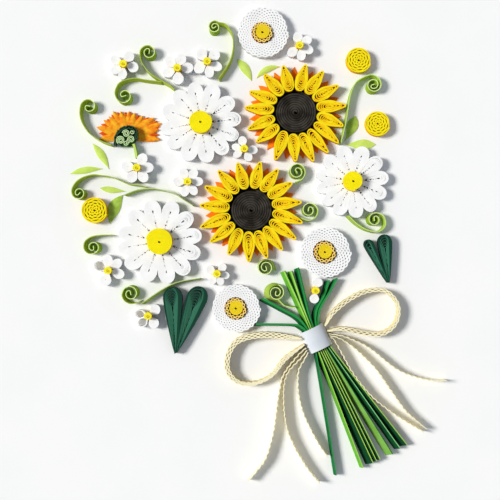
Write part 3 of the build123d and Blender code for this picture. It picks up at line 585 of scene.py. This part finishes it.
for number, (centre, reach, angles) in enumerate(SMALL_FLOWERS, start=1):
    petals = []
    for angle in angles:
        room = min(room_beside(angle, other, reach) for other in angles if other != angle)
        waist = min(FILLER_WAIST, 0.56 * (reach - CORE_RADIUS), room)
        foot = polar(centre, 0.5 * CORE_RADIUS, angle)
        end = polar(centre, reach, angle)
        if angle in OPEN_LOOPS.get(number, ()):
            petal = pinched_coil(end, foot, (waist, waist), FILLER_ROLL, LOOP_STRIP, turns=1, heart=0.97,
                                 fullness=FILLER_FULLNESS)
        else:
            petal = pinched_coil(end, foot, (waist, waist), FILLER_ROLL, WHITE_STRIP, FILLER_PITCH,
                                 fullness=FILLER_FULLNESS)
        petals.append([(x, y, off - TURN_DROP / 3 * (len(petals) % 2)) for x, y, off in petal])
    stand(f"small_flower_{number:02d}_petals", raised(petals, white, WHITE_STRIP))
    spots.append(spiral(centre, 0.1, 0.3, 0.2, 12))
    cores.append(spiral(centre, 0.55, CORE_RADIUS - 0.2, 0.36, 24))
core_yellow = strip_paper("Core yellow", (255, 224, 20), (255, 212, 10), (255, 242, 50))
core_orange = strip_paper("Core orange", (252, 190, 8), (248, 176, 4), (254, 222, 34))
stand("small_flower_cores", raised(cores, core_yellow, CORE_STRIP, height=CORE_HEIGHT, rounding=0.05),
      raised(spots, core_orange, SPOT_STRIP, height=CORE_HEIGHT - 0.03))

# Scrolls. A single moss green strip on edge: a plain stem, then a coil let go to spread a little, with
# the bent hook that the slotted tool leaves at its heart.
SCROLLS = {   # centre, angle where the coil starts, way round, radius at each eighth turn, stem
    "scroll_top_left": (
        (-40.4, 79.0), 211, -1, (4.05, 3.5, 2.95, 2.55, 2.35, 2.2, 2.1, 2.05, 2.0, 1.9, 1.7),
        ((-30.4, 64.3), (-32.4, 66.0), (-35.9, 68.0), (-38.6, 69.6), (-41.2, 71.9), (-43.1, 74.7))),
    "scroll_upper_left": (
        (-50.1, 61.7), 115, 1, (5.4, 4.1, 3.3, 2.9, 2.6, 2.35, 2.15, 2.0, 1.9, 1.75),
        ((-35.5, 67.2), (-38.6, 67.6), (-42.0, 68.0), (-45.7, 68.6), (-49.2, 68.1))),
    "scroll_outer_left": (
        (-64.3, 57.4), 208, -1, (4.2, 3.25, 2.85, 2.55, 2.35, 2.2, 2.05, 1.95, 1.8),
        ((-55.5, 42.1), (-58.8, 43.2), (-61.6, 44.7), (-64.4, 46.8), (-66.5, 49.8), (-67.7, 52.6))),
    "scroll_middle_left": (
        (-68.3, 22.7), 102, 1, (4.8, 3.35, 2.75, 2.35, 2.15, 1.95, 1.85, 1.8, 1.75, 1.65, 1.45),
        ((-41.5, 25.2), (-44.0, 25.8), (-48.8, 26.4), (-51.5, 27.5), (-55.6, 29.2), (-59.3, 29.8),
         (-62.7, 30.1), (-66.4, 29.2))),
    "scroll_lower_left": (
        (-62.7, 1.1), 106, 1, (4.15, 3.95, 3.6, 3.0, 2.4, 2.2, 2.1, 2.0, 1.85, 1.75, 1.6, 1.4),
        ((-55.3, 6.0), (-60.1, 5.9))),
    "scroll_by_heart_leaf": (
        (-47.8, -17.4), -40, -1, (5.0, 4.1, 3.7, 3.4, 3.1, 2.85, 2.65, 2.45, 2.3, 2.15, 2.0, 1.8, 1.55), ()),
    "scroll_top": (
        (-14.1, 89.1), 44, 1, (2.6, 2.45, 2.35, 2.25, 2.1, 1.9, 1.75, 1.6, 1.5, 1.4, 1.3, 1.15),
        ((-12.4, 68.6), (-8.4, 74.8), (-7.0, 79.2), (-6.7, 82.8), (-7.2, 86.4), (-8.8, 89.2), (-10.3, 90.5))),
    "scroll_right": (
        (49.3, 66.0), 147, -1,
        (5.2, 4.1, 3.45, 3.1, 2.85, 2.6, 2.4, 2.25, 2.15, 2.1, 2.05, 1.85, 1.65, 1.5, 1.4),
        ((36.4, 42.9), (37.5, 47.5), (38.4, 51.6), (39.0, 55.3), (39.6, 59.5), (40.5, 63.2), (42.2, 66.8))),
    "scroll_between_sunflowers": (
        (18.75, 31.25), 262, 1, (4.1, 3.5, 3.3, 3.2, 3.2, 3.0, 2.7, 2.35, 2.15, 2.05, 2.0, 1.85, 1.6), ()),
    "scroll_beside_sunflower": (
        (23.5, 16.0), 224, 1, (4.5, 4.15, 3.9, 3.6, 3.05, 2.7, 2.45, 2.3, 2.2, 2.1, 1.95, 1.75, 1.55), ()),
    "scroll_below_sunflower": (
        (6.3, -7.0), -19, 1,
        (4.5, 3.65, 3.2, 3.1, 3.05, 2.95, 2.75, 2.5, 2.35, 2.25, 2.15, 2.0, 1.85, 1.65, 1.45), ()),
    "scroll_by_stems": (
        (10.4, -17.0), 208, -1,
        (4.75, 4.25, 3.6, 3.2, 3.05, 2.95, 2.8, 2.6, 2.4, 2.25, 2.1, 1.95, 1.85, 1.65, 1.45),
        ((18.2, -23.0), (16.0, -22.8), (12.0, -21.8), (8.0, -20.3))),
    "scroll_lower_right": (
        (49.8, 12.2), 240, 1, (5.0, 5.15, 4.9, 3.9, 2.9, 2.5, 2.3, 2.2, 2.1, 2.0, 1.85, 1.7, 1.5),
        ((39.4, 13.7), (42.1, 11.0), (44.6, 9.2))),
}
SCROLL_HOOK = 0.6
SCROLL_STRIP = 0.32
SCROLL_LEAN = 0.9
GATHERED = {"scroll_below_sunflower": 2.9, "scroll_by_stems": 2.8}   # radius that the top is drawn in to
GATHER_REACH = 6.2
GATHER_FADE = 1.3


def smooth(points, step):
    """A smooth curve through the points, as points about one step apart."""
    ends = [points[0]] + list(points) + [points[-1]]
    curve = []
    for a, b, c, d in zip(ends, ends[1:], ends[2:], ends[3:]):
        pieces = max(1, round(hypot(c[0] - b[0], c[1] - b[1]) / step))
        for i in range(pieces):
            t = i / pieces
            curve.append(tuple(
                0.5 * (2 * q + (r - p) * t + (2 * p - 5 * q + 4 * r - s) * t ** 2
                       + (3 * q - p - 3 * r + s) * t ** 3) for p, q, r, s in zip(a, b, c, d)))
    curve.append(tuple(points[-1]))
    return curve


def outward(middle, much):
    """A lean away from the middle of the picture."""
    far = hypot(middle[0], middle[1])
    share = much * min(1.0, far / 50) / far
    return (middle[0] * share, middle[1] * share)


def gather(mesh, centre, radius):
    """A coil's outer turn with its top drawn in towards the middle, so that its wall shows from above."""
    for vertex in mesh.vertices:
        share = (vertex.co.z / MM - CARD_TOP) / STRIP_HEIGHT
        x, y = vertex.co.x / MM - centre[0], vertex.co.y / MM - centre[1]
        far = hypot(x, y)
        if radius < far < GATHER_REACH:
            drawn = share * (far - radius) / far * min(1.0, (GATHER_REACH - far) / GATHER_FADE)
            vertex.co -= Vector((x * drawn * MM, y * drawn * MM, 0.0))
    return mesh


# Painted light: the inner turns have darker walls under pale cut edges, as painted shade in the coil and a
# painted highlight on the tops. The outer turn and stem take a copy with a dark cut edge, as painted shade,
# on scrolls left of the middle, and a lit copy, as painted light, right of the middle and on the gathered
# scrolls.
moss = strip_paper("Moss green", (176, 208, 66), (160, 194, 52), (230, 245, 158))
moss_outside_shaded = strip_paper("Moss green outside", (194, 212, 78), (180, 198, 64), (176, 198, 84), through=0.3)
moss_lit = strip_paper("Moss green in the light", (204, 228, 108), (192, 218, 92), (206, 232, 130),
                       through=0.5)
for scroll, (centre, start, sense, radii, route) in SCROLLS.items():
    turns = [polar(centre, radius, start + sense * 45.0 * i) for i, radius in enumerate(radii)]
    last = start + sense * 45.0 * (len(radii) - 1)
    for radius, turned in ((radii[-1] * 0.72, 38), (SCROLL_HOOK / 2, 62), (SCROLL_HOOK, 205)):
        turns.append(polar(centre, radius, last + sense * turned))
    line = smooth(list(route) + turns, 0.35)
    parting = next(i for i, (x, y) in enumerate(line) if hypot(x - turns[3][0], y - turns[3][1]) < 0.3)
    lean = outward(centre, SCROLL_LEAN)
    foot = [(x - lean[0], y - lean[1]) for x, y in line]
    # Painted light: the lit copy is used right of the middle and where the top is drawn in, and the shaded
    # copy elsewhere.
    outside = moss_lit if centre[0] > 15.0 or scroll in GATHERED else moss_outside_shaded
    outer_turn = raised([foot[:parting + 1]], outside, SCROLL_STRIP, lean=lean)
    if scroll in GATHERED:
        outer_turn = gather(outer_turn, centre, GATHERED[scroll])
    stand(scroll, outer_turn, raised([foot[parting:]], moss, SCROLL_STRIP, lean=lean))

# Vines. Two plain strips of pale green paper on edge, bent by hand and glued between the leaves and
# the small flowers.
VINES = (
    ((-50.4, 22.0), (-45.0, 24.0), (-39.4, 24.6), (-34.4, 23.8), (-29.8, 22.2), (-26.2, 19.8), (-22.9, 17.8)),
    ((-43.4, -21.4), (-39.3, -18.5), (-34.3, -15.3), (-28.8, -12.8), (-20.0, -11.2)),
)
vine_green = strip_paper("Vine green", (196, 214, 128), (178, 200, 104), (196, 212, 146), through=0.5)
lean = outward(VINES[0][0], SCROLL_LEAN)
ways = [[(x - lean[0], y - lean[1]) for x, y in smooth(vine, 0.8)] for vine in VINES]
stand("vines", raised(ways, vine_green, SCROLL_STRIP, lean=lean))

# Flat leaves. Cut with scissors from light green paper, softly folded along the middle and glued down
# flat beside the scrolls and vines.
FLAT_LEAVES = (   # foot, tip, width, bow, where it is widest
    ((-56.8, 32.6), (-63.4, 42.8), 3.1, -0.5, 0.55),
    ((-59.2, 32.7), (-72.5, 30.6), 2.7, -0.6, 0.55),
    ((-49.8, 23.6), (-60.6, 25.0), 2.6, 0.2, 0.6),
    ((-5.3, 76.8), (0.6, 68.0), 3.5, 0.7, 0.45),
    ((12.2, 73.8), (2.6, 69.2), 2.6, -1.3, 0.5),
    ((37.9, 43.5), (42.5, 54.0), 4.6, -0.5, 0.66),
    ((38.1, 42.5), (50.6, 42.5), 4.3, -0.1, 0.62),
    ((-56.3, 10.6), (-51.1, 22.2), 5.0, 1.2, 0.5),
)
leaf_green = paper("Leaf green", (210, 232, 116), (198, 224, 96), cloud_size=2.0)
# Painted shade: two leaves take a darker olive paper for the shadows that a scroll and the left rose cast
# over them.
leaf_olive_shaded = paper("Leaf olive", (178, 208, 88), (154, 188, 68), cloud_size=2.0)
SHADED_LEAVES = (5, 7)
LEAF_STEPS = 14
LEAF_CROWN = 0.3
POWER_STEP = 1.02


def widest_at(share):
    """The power that moves a leaf's widest place from its middle to a share of its length."""
    power = 1.0
    while share ** power > 0.5:
        power *= POWER_STEP
    while share ** power < 0.5:
        power /= POWER_STEP
    return power


sheet = bmesh.new()
for number, (foot, tip, width, bow, widest) in enumerate(FLAT_LEAVES):
    length, along = heading(foot, tip)
    power = widest_at(widest)
    shares = [i / LEAF_STEPS for i in range(LEAF_STEPS + 1)]
    spine = [moved(foot, along, length * t, bow * 4 * t * (1 - t)) for t in shares]
    widths = [max(0.02, width / 2 * sin(pi * t ** power)) for t in shares]
    blade(sheet, spine, widths, [LEAF_CROWN * sin(pi * t) for t in shares], CARD_TOP, BLADE_THICKNESS,
          int(number in SHADED_LEAVES))
finish_sheet(sheet, "flat_leaves_cut", "flat_leaves", leaf_green, leaf_olive_shaded)

# Heart leaves. Two bottle green coils side by side, each rolled tight round its own heart and pinched
# to a long point at the foot.
HEART_LOBES = {   # foot, middle of the round end, radius of each lobe
    "heart_leaf_left": (((-29.9, -41.6), (-30.95, -18.6), 3.9), ((-29.4, -41.2), (-21.0, -18.7), 4.25)),
    "heart_leaf_right": (((55.2, -13.2), (47.5, 2.3), 2.0), ((55.6, -13.2), (53.9, 3.4), 2.9)),
}
HEART_DRIFT = 0.18
HEART_RIM = 0.5
HEART_STRIP = 0.26
HEART_PITCH = 0.4
HEART_ROLL = 1.2
HEART_PACKED = 4   # thick turns, each within the last
PACK_STEPS = (0.11, 0.02)   # how much narrower each is, left and right of the way to the foot
# Painted light: the walls are nearly black under much lighter cut edges, as painted shade between the tight
# turns and a painted highlight on the edges.
bottle = strip_paper("Bottle green", (3, 28, 22), (2, 22, 18), (54, 116, 92), through=0.1)
bottle_rim = strip_paper("Bottle green rim", (8, 51, 39), (6, 44, 33), (13, 62, 46), through=0.1)
for leaf, lobes in HEART_LOBES.items():
    rims, lines = [], []
    for foot, end, radius in lobes:
        run, along = heading(foot, end)
        back = moved(end, along, radius)
        roll = HEART_ROLL * radius / (run + radius)
        for packed in range(HEART_PACKED):
            waists = [radius * (1 - step * packed) for step in PACK_STEPS]
            rim, line = rimmed_coil(back, foot, waists, roll, HEART_RIM, 0.28, HEART_PITCH, blunt=0.03,
                                    fullness=2.1, drift=HEART_DRIFT * run)
            rims.append([(x, y, off - TURN_DROP * packed) for x, y, off in rim])
        lines.append(line)
    stand(leaf, raised(rims, bottle_rim, HEART_RIM), raised(lines, bottle, HEART_STRIP))

# Sunflower seen from behind. Two rows of petals cut from amber and orange sheet, a calyx of rolled dark
# green strips glued on their feet, and a short strip for a stem.
BACK_VIEW_HEART = (-49.2, 46.2)
BACK_VIEW_TIPS = (
    (-60.6, 44.7), (-61.7, 49.4), (-58.9, 52.2), (-56.8, 53.6), (-55.1, 55.8), (-52.0, 55.8), (-48.6, 55.8),
    (-46.2, 55.2), (-43.0, 54.0), (-38.4, 53.2), (-35.4, 51.0), (-36.4, 48.5), (-36.0, 44.3),
)
PETAL_PAPER = 0.125
CALYX_MIDDLE = (-49.8, 43.0)
amber = paper("Amber petal", (255, 184, 36), (246, 132, 18), cloud_size=1.6)
burnt = paper("Burnt orange petal", (236, 110, 18), (214, 74, 12), cloud_size=1.6)
shade_green = paper("Calyx shade green", (84, 126, 66), (62, 100, 54))
sheet = bmesh.new()
shares = [j / 8 for j in range(9)]
for row, look in ((0, 1), (1, 0)):   # the lower row is burnt orange, the upper one amber
    for i, tip in enumerate(BACK_VIEW_TIPS):
        if row == 0:
            following = BACK_VIEW_TIPS[min(i + 1, len(BACK_VIEW_TIPS) - 1)]
            tip = ((tip[0] + following[0]) / 2, (tip[1] + following[1]) / 2)
        length, along = heading(BACK_VIEW_HEART, tip)
        reach = length * (0.97 if row == 0 else 1.0)
        spine = [moved(BACK_VIEW_HEART, along, reach * t) for t in shares]
        widths = [0.25 + 1.45 * sin(pi * min(1.0, 0.12 + 0.87 * t)) ** 0.8 for t in shares]
        widths[-1] = 0.05
        blade(sheet, spine, widths, [0.5 * t for t in shares], CARD_TOP + 0.3 * row + 0.12 * (i % 2),
              PETAL_PAPER, look)
spine = [(-49.6, 41.4 + 8.2 * t) for t in shares]
widths = [4.5 * sin(pi * (0.08 + 0.84 * t)) ** 0.7 for t in shares]
blade(sheet, spine, widths, [0.2] * len(shares), CARD_TOP + 0.9, PETAL_PAPER, 2)
finish_sheet(sheet, "back_view_flower_cut", "back_view_flower_petals", amber, burnt, shade_green)
calyx_green = strip_paper("Calyx green", (34, 66, 42), (24, 50, 34), (44, 80, 54), through=0.1)
curl_green = strip_paper("Calyx curl green", (110, 170, 80), (90, 150, 66), (214, 244, 180), through=0.3)
CALYX_ARCH = ((-54.2, 41.8), (-54.0, 44.6), (-53.0, 47.2), (-51.0, 48.9), (-48.4, 49.5), (-46.2, 48.8),
              (-45.2, 46.8), (-45.2, 44.4))
CALYX_CURLS = ((-51.7, 43.9, 1.7), (-49.5, 46.5, 1.5), (-47.5, 44.2, 1.5), (-49.6, 42.7, 1.1),
               (-47.1, 47.1, 1.0))
BACK_VIEW_STEM = ((-46.6, 42.4), (-45.8, 39.6), (-45.4, 36.8))
arches = []
for share in (1.0, 0.88):
    arch = smooth([(CALYX_MIDDLE[0] + (x - CALYX_MIDDLE[0]) * share,
                    CALYX_MIDDLE[1] + (y - CALYX_MIDDLE[1]) * share) for x, y in CALYX_ARCH], 0.3)
    arches.append([(x + random.uniform(-0.25, 0.25), y + random.uniform(-0.3, 0.3)) for x, y in arch])
curls = [spiral((x, y), 0.25, radius, 0.55, 20, start=80.0 * i)
         for i, (x, y, radius) in enumerate(CALYX_CURLS)]
stand("back_view_flower_calyx", raised(arches, calyx_green, 0.42, floor=FLOWER_FLOOR),
      raised(curls, curl_green, 0.3, floor=FLOWER_FLOOR))
cup = strip_paper("Cup green", (150, 205, 70), (120, 184, 50), (204, 228, 110))
stand("back_view_flower_stem", raised([smooth(BACK_VIEW_STEM, 0.6)], cup, 0.9))

# Stems. Green strips on edge, from the lower flowers through the wrap to their cut ends; they lean to
# the right as they stand.
STEM_PITCH = 0.8
STEM_THICKNESS = 0.34
FOLD_THICKNESS = 0.6
STEM_LEAN = 1.3
STEM_STEP = 1.5
STEM_TOPS = (
    ((1.7, -30.0), (10.0, -30.0), (16.8, -30.2), (19.4, -31.0)),
    ((4.2, -19.9), (12.0, -24.1), (18.6, -27.9)),
    ((12.8, -8.8), (15.8, -15.4), (19.9, -24.4)),
    ((15.6, -8.8), (18.0, -16.0), (20.9, -24.6)),
    ((18.3, -7.5), (20.6, -17.2), (22.6, -25.6)),
    ((30.6, -12.6), (28.8, -18.4), (25.6, -24.8)),
    ((33.8, -11.8), (31.2, -16.8), (27.0, -24.2)),
    (),
)
STEM_ENDS = ((33.3, -90.6), (44.0, -87.6), (48.0, -85.6), (49.4, -84.8), (50.8, -84.2), (55.8, -82.0),
             (58.8, -79.8), (61.6, -78.4))
DARK_STEMS = (0, 1, 4, 5, 6)
WRAP_CENTRE = (26.5, -35.4)
WRAP_HEADING = -64.3
WRAP_LENGTH = 9.2
WRAP_HALF_WIDTH = 4.9


def wrap_point(across, along):
    """A place by the wrap, measured across the bundle and down its length."""
    down = radians(WRAP_HEADING)
    return (WRAP_CENTRE[0] + along * cos(down) - across * sin(down),
            WRAP_CENTRE[1] + along * sin(down) + across * cos(down))


def leaning(much):
    """A lean across the bundle, to the right."""
    across = radians(WRAP_HEADING + 90)
    return (much * cos(across), much * sin(across))


# Painted light: each stem's walls and cut edge are coloured apart by how the light falls on them. Dark walls
# under pale edges stand for walls in shade, and pale olive walls under a dark edge stand for a wall in the
# light.
stem_papers = {
    "deep": strip_paper("Stem deep green", (10, 112, 56), (6, 98, 46), (40, 150, 70), through=0.2),
    "bright": strip_paper("Stem bright green", (116, 196, 60), (100, 182, 48), (170, 226, 96), through=0.3),
    "edged": strip_paper("Stem dark green", (4, 72, 36), (3, 60, 30), (170, 214, 88), through=0.1),
    "olive": strip_paper("Stem olive green", (146, 204, 96), (130, 190, 76), (16, 96, 44), through=0.3),
    "pale": strip_paper("Stem pale edged green", (4, 76, 38), (3, 62, 30), (130, 204, 128), through=0.1),
}
STEM_PAPERS = ("deep", "bright", "edged", "edged", "edged", "olive", "pale", "edged")
STEM_FALLS = (0.8, 1.0, 2.8, 2.8, 2.8, 2.6, 2.0, 2.6)
TOP_PAPERS = ("deep", "deep", "olive", "olive", "olive", "deep", "deep")
FOLD_PAPERS = ("deep", "deep", "bright", "bright", "deep", "deep", "deep")
STEM_FOLD = (0.42, 0.2)
STEM_SEATS = (-0.42, 0.1, 0.4)   # where a stem enters, crosses and leaves the wrap, by its length
stem_meshes = {"stems_dark": [], "stems_bright": []}
for number, (top, end) in enumerate(zip(STEM_TOPS, STEM_ENDS)):
    across = (number - (len(STEM_ENDS) - 1) / 2) * STEM_PITCH - STEM_LEAN / 2
    group = stem_meshes["stems_dark" if number in DARK_STEMS else "stems_bright"]
    entry, middle, leaving = [wrap_point(across, WRAP_LENGTH * share) for share in STEM_SEATS]
    way = smooth(list(top)[-1:] + [entry, leaving, end], STEM_STEP)
    first = min(range(len(way)), key=lambda i: hypot(way[i][0] - WRAP_CENTRE[0], way[i][1] - WRAP_CENTRE[1]))
    fall = STEM_FALLS[number]
    back = leaning(fall - STEM_LEAN)
    tail = [(x - back[0], y - back[1]) for x, y in way[first:]]
    group.append(raised([tail], stem_papers[STEM_PAPERS[number]], STEM_THICKNESS, lean=leaning(fall)))
    if top:
        lean = leaning(STEM_LEAN)
        head = smooth(list(top) + [entry, middle], STEM_STEP)
        group.append(raised([head], stem_papers[TOP_PAPERS[number]], STEM_THICKNESS, lean=lean))
        fold = [(x - STEM_FOLD[0], y - STEM_FOLD[1]) for x, y in top] + [entry]
        group.append(raised([smooth(fold, STEM_STEP)], stem_papers[FOLD_PAPERS[number]], FOLD_THICKNESS,
                            height=STRIP_HEIGHT - TURN_DROP, lean=lean))
for node, meshes in stem_meshes.items():
    stand(node, *meshes)

# Stem wrap. A wide band of white paper laid over the bundle of stems, arched by it and glued to the
# card at both sides.
WRAP_RISE = 4.5
WRAP_ARCH = 2.9
WRAP_PAPER = 0.3
WRAP_ROWS = 6
WRAP_STEPS = 32
wrap_white = paper("Wrap white", (226, 231, 238), (218, 224, 232), through=0.1)
sheet = bmesh.new()
rings = []
for i in range(WRAP_ROWS + 1):
    along = WRAP_LENGTH * (i / WRAP_ROWS - 0.5)
    ring = []
    for inset, way in ((0.0, 1), (WRAP_PAPER, -1)):
        half, arch = WRAP_HALF_WIDTH - inset, WRAP_ARCH - inset
        edge = [(half, 0.0)]
        for j in range(WRAP_STEPS + 1):
            turn = pi * j / WRAP_STEPS
            edge.append((half * cos(turn), WRAP_RISE - WRAP_ARCH + arch * sin(turn)))
        edge.append((-half, 0.0))
        for across, up in edge[::way]:
            x, y = wrap_point(across, along)
            ring.append(sheet.verts.new((x * MM, y * MM, (CARD_TOP + up) * MM)))
    rings.append(ring)
close_sheet(sheet, rings)
finish_sheet(sheet, "stem_wrap_band", "stem_wrap", wrap_white)

# Bow. Loops of cream crimped strip laid three or four thick, crest to crest, and single crimped
# tails, tucked against both sides of the wrap.
BOW_HEIGHT = 4.0
BOW_LOOPS = {   # x, y, half width of the strips laid together
    "bow_loop_left": ((14.3, -34.6, 1.1), (6.4, -33.9, 1.25), (-0.8, -34.7, 1.2), (-6.0, -37.2, 1.15),
                      (-8.9, -42.6, 1.15), (-8.7, -48.5, 1.1), (-4.6, -52.7, 0.9), (2.0, -53.2, 0.75),
                      (8.7, -50.0, 0.75), (13.9, -43.6, 0.9)),
    "bow_loop_right": ((33.3, -24.8, 0.9), (40.0, -19.4, 0.95), (46.8, -16.4, 0.9), (53.6, -16.2, 0.85),
                       (58.2, -20.2, 0.75), (59.3, -25.4, 0.7), (57.2, -30.5, 0.8), (52.2, -33.5, 0.95),
                       (46.2, -33.2, 1.0), (37.0, -31.5, 0.9)),
}
BOW_LAYERS = {"bow_loop_left": (-1.0, -0.34, 0.34, 1.0), "bow_loop_right": (-1.0, 0.0, 1.0)}
# side of the wrap, and the places of both ends down its length
BOW_LOOP_SEATS = {"bow_loop_left": (-1, (-2.6, 0.0)), "bow_loop_right": (1, (-3.1, -0.9))}
BOW_TAILS = (   # side of the wrap, place down its length, way to the end
    (-1, 1.5, ((19.0, -42.2), (13.4, -49.8), (11.4, -58.0), (10.4, -65.2), (9.2, -73.2), (6.4, -82.8),
               (2.8, -88.0), (-0.8, -92.2))),
    (-1, 2.5, ((20.2, -43.2), (15.4, -48.4), (13.7, -53.2), (13.4, -60.8), (14.6, -70.8), (18.0, -79.2),
               (23.2, -87.6), (27.8, -93.0))),
    (-1, 3.5, ((21.4, -44.2), (19.3, -48.8), (19.3, -56.8), (21.0, -64.4), (24.0, -71.2), (28.0, -78.4),
               (31.0, -82.4))),
    (1, 2.2, ((33.4, -35.6), (36.8, -41.6), (40.6, -48.4), (44.9, -54.2), (49.4, -59.2), (56.0, -64.4),
              (62.8, -68.8), (69.3, -72.6))),
    (1, 1.3, ((35.2, -35.0), (40.0, -37.9), (44.8, -42.0), (50.4, -47.8), (55.6, -55.2), (61.6, -63.6),
              (65.6, -67.4), (70.4, -71.4))),
    (1, 0.4, ((36.8, -34.2), (42.0, -36.2), (46.4, -38.4), (50.4, -41.2), (55.2, -45.2), (60.0, -48.4),
              (66.4, -50.8), (73.2, -52.1), (78.4, -52.0))),
)
BOW_SEAT = WRAP_HALF_WIDTH + 0.42
BOW_END_HALF_WIDTH = 0.4
BOW_STRIP = 0.42
BOW_CRIMP = 0.12
BOW_PITCH = 2.4
BOW_STEP = 0.28
TAIL_STRIP = 0.3
TAIL_CRIMP = 0.17


def crimped(path, side, depth, phase, off=0.0):
    """A waved line along a path with half widths, a share of the way to its side, calm at both ends."""
    run, line = 0.0, []
    total = sum(hypot(b[0] - a[0], b[1] - a[1]) for a, b in zip(path, path[1:]))
    for i, point in enumerate(path):
        _, along = heading(path[max(i - 1, 0)], path[min(i + 1, len(path) - 1)])
        if i:
            run += hypot(point[0] - path[i - 1][0], point[1] - path[i - 1][1])
        room = max(0.0, point[2] - BOW_STRIP / 2 - depth)
        wave = depth * min(1.0, 0.3 + min(run, total - run) * 0.12) * sin(2 * pi * run / BOW_PITCH + phase)
        line.append(moved(point, along, 0.0, side * room + wave) + (off,))
    return line


cream = strip_paper("Ribbon cream", (254, 242, 198), (249, 233, 180), (254, 246, 208))
for loop, route in BOW_LOOPS.items():
    side, (first, last) = BOW_LOOP_SEATS[loop]
    seats = [wrap_point(side * BOW_SEAT, along) + (BOW_END_HALF_WIDTH,) for along in (first, last)]
    path = smooth([seats[0]] + list(route) + [seats[1]], BOW_STEP)
    layers = [crimped(path, share, BOW_CRIMP, pi * (i % 2), -TURN_DROP * i)
              for i, share in enumerate(BOW_LAYERS[loop])]
    stand(loop, raised(layers, cream, BOW_STRIP, height=BOW_HEIGHT))
cream_thin = strip_paper("Ribbon cream, one strip", (255, 250, 230), (253, 246, 218), (254, 245, 210))
tails = []
for side, along, route in BOW_TAILS:
    path = [point + (TAIL_STRIP,)
            for point in smooth([wrap_point(side * BOW_SEAT, along)] + list(route), BOW_STEP)]
    tails.append(crimped(path, 0.0, TAIL_CRIMP, along, -TURN_DROP * len(tails)))
stand("bow_tails", raised(tails, cream_thin, TAIL_STRIP, height=BOW_HEIGHT))

# Table, light and camera. A pale table, a soft sun low from the left, a bright room, and a camera
# straight above the card.
table = bmesh.new()
bmesh.ops.create_grid(table, x_segments=1, y_segments=1, size=3.0)
table_mesh = bpy.data.meshes.new("table")
table.to_mesh(table_mesh)
table.free()
table_mesh.materials.append(paper("Table", (236, 236, 236), (233, 233, 233), cloud_size=200.0))
add_object("table", table_mesh)

SUN_WAY = (3.76, -0.6, -3.0)
SUN_STRENGTH = 3.5
SUN_SPREAD = 17
SUN_COLOUR = (1.0, 0.98, 0.925)
ROOM_LOW = 0.84
ROOM_HIGH = 0.1
ROOM_SEEN = 0.9
ROOM_COLOUR = (0.84, 0.91, 1.0, 1.0)
CAMERA_HEIGHT = 339.5
CAMERA_LENS = 60.4
sun = bpy.data.lights.new("window_light", "SUN")
sun.energy = SUN_STRENGTH
sun.angle = radians(SUN_SPREAD)
sun.color = SUN_COLOUR
add_object("window_light", sun).rotation_euler = Vector(SUN_WAY).to_track_quat("-Z", "Y").to_euler()

room = bpy.data.worlds.new("room")
bpy.context.scene.world = room
room.use_nodes = True
sky = room.node_tree
around = add_node(sky, "ShaderNodeTexCoord", {})["Generated"]
up = add_node(sky, "ShaderNodeSeparateXYZ", {0: around})["Z"]
fall = add_node(sky, "ShaderNodeMapRange", {"Value": up, "To Min": ROOM_LOW, "To Max": ROOM_HIGH})["Result"]
direct = add_node(sky, "ShaderNodeLightPath", {})["Is Camera Ray"]
seen = add_node(sky, "ShaderNodeMix", {"Factor": direct, "A": fall, "B": ROOM_SEEN})["Result"]
sky.links.new(seen, sky.nodes["Background"].inputs["Strength"])
sky.nodes["Background"].inputs["Color"].default_value = ROOM_COLOUR

camera = bpy.data.cameras.new("camera")
camera.sensor_width = 36.0
camera.lens = CAMERA_LENS
camera.clip_start = 0.01
bpy.context.scene.camera = add_object("camera", camera)
bpy.context.scene.camera.location = (0.0, 0.0, CAMERA_HEIGHT * MM)
bpy.context.scene.view_settings.view_transform = "Standard"
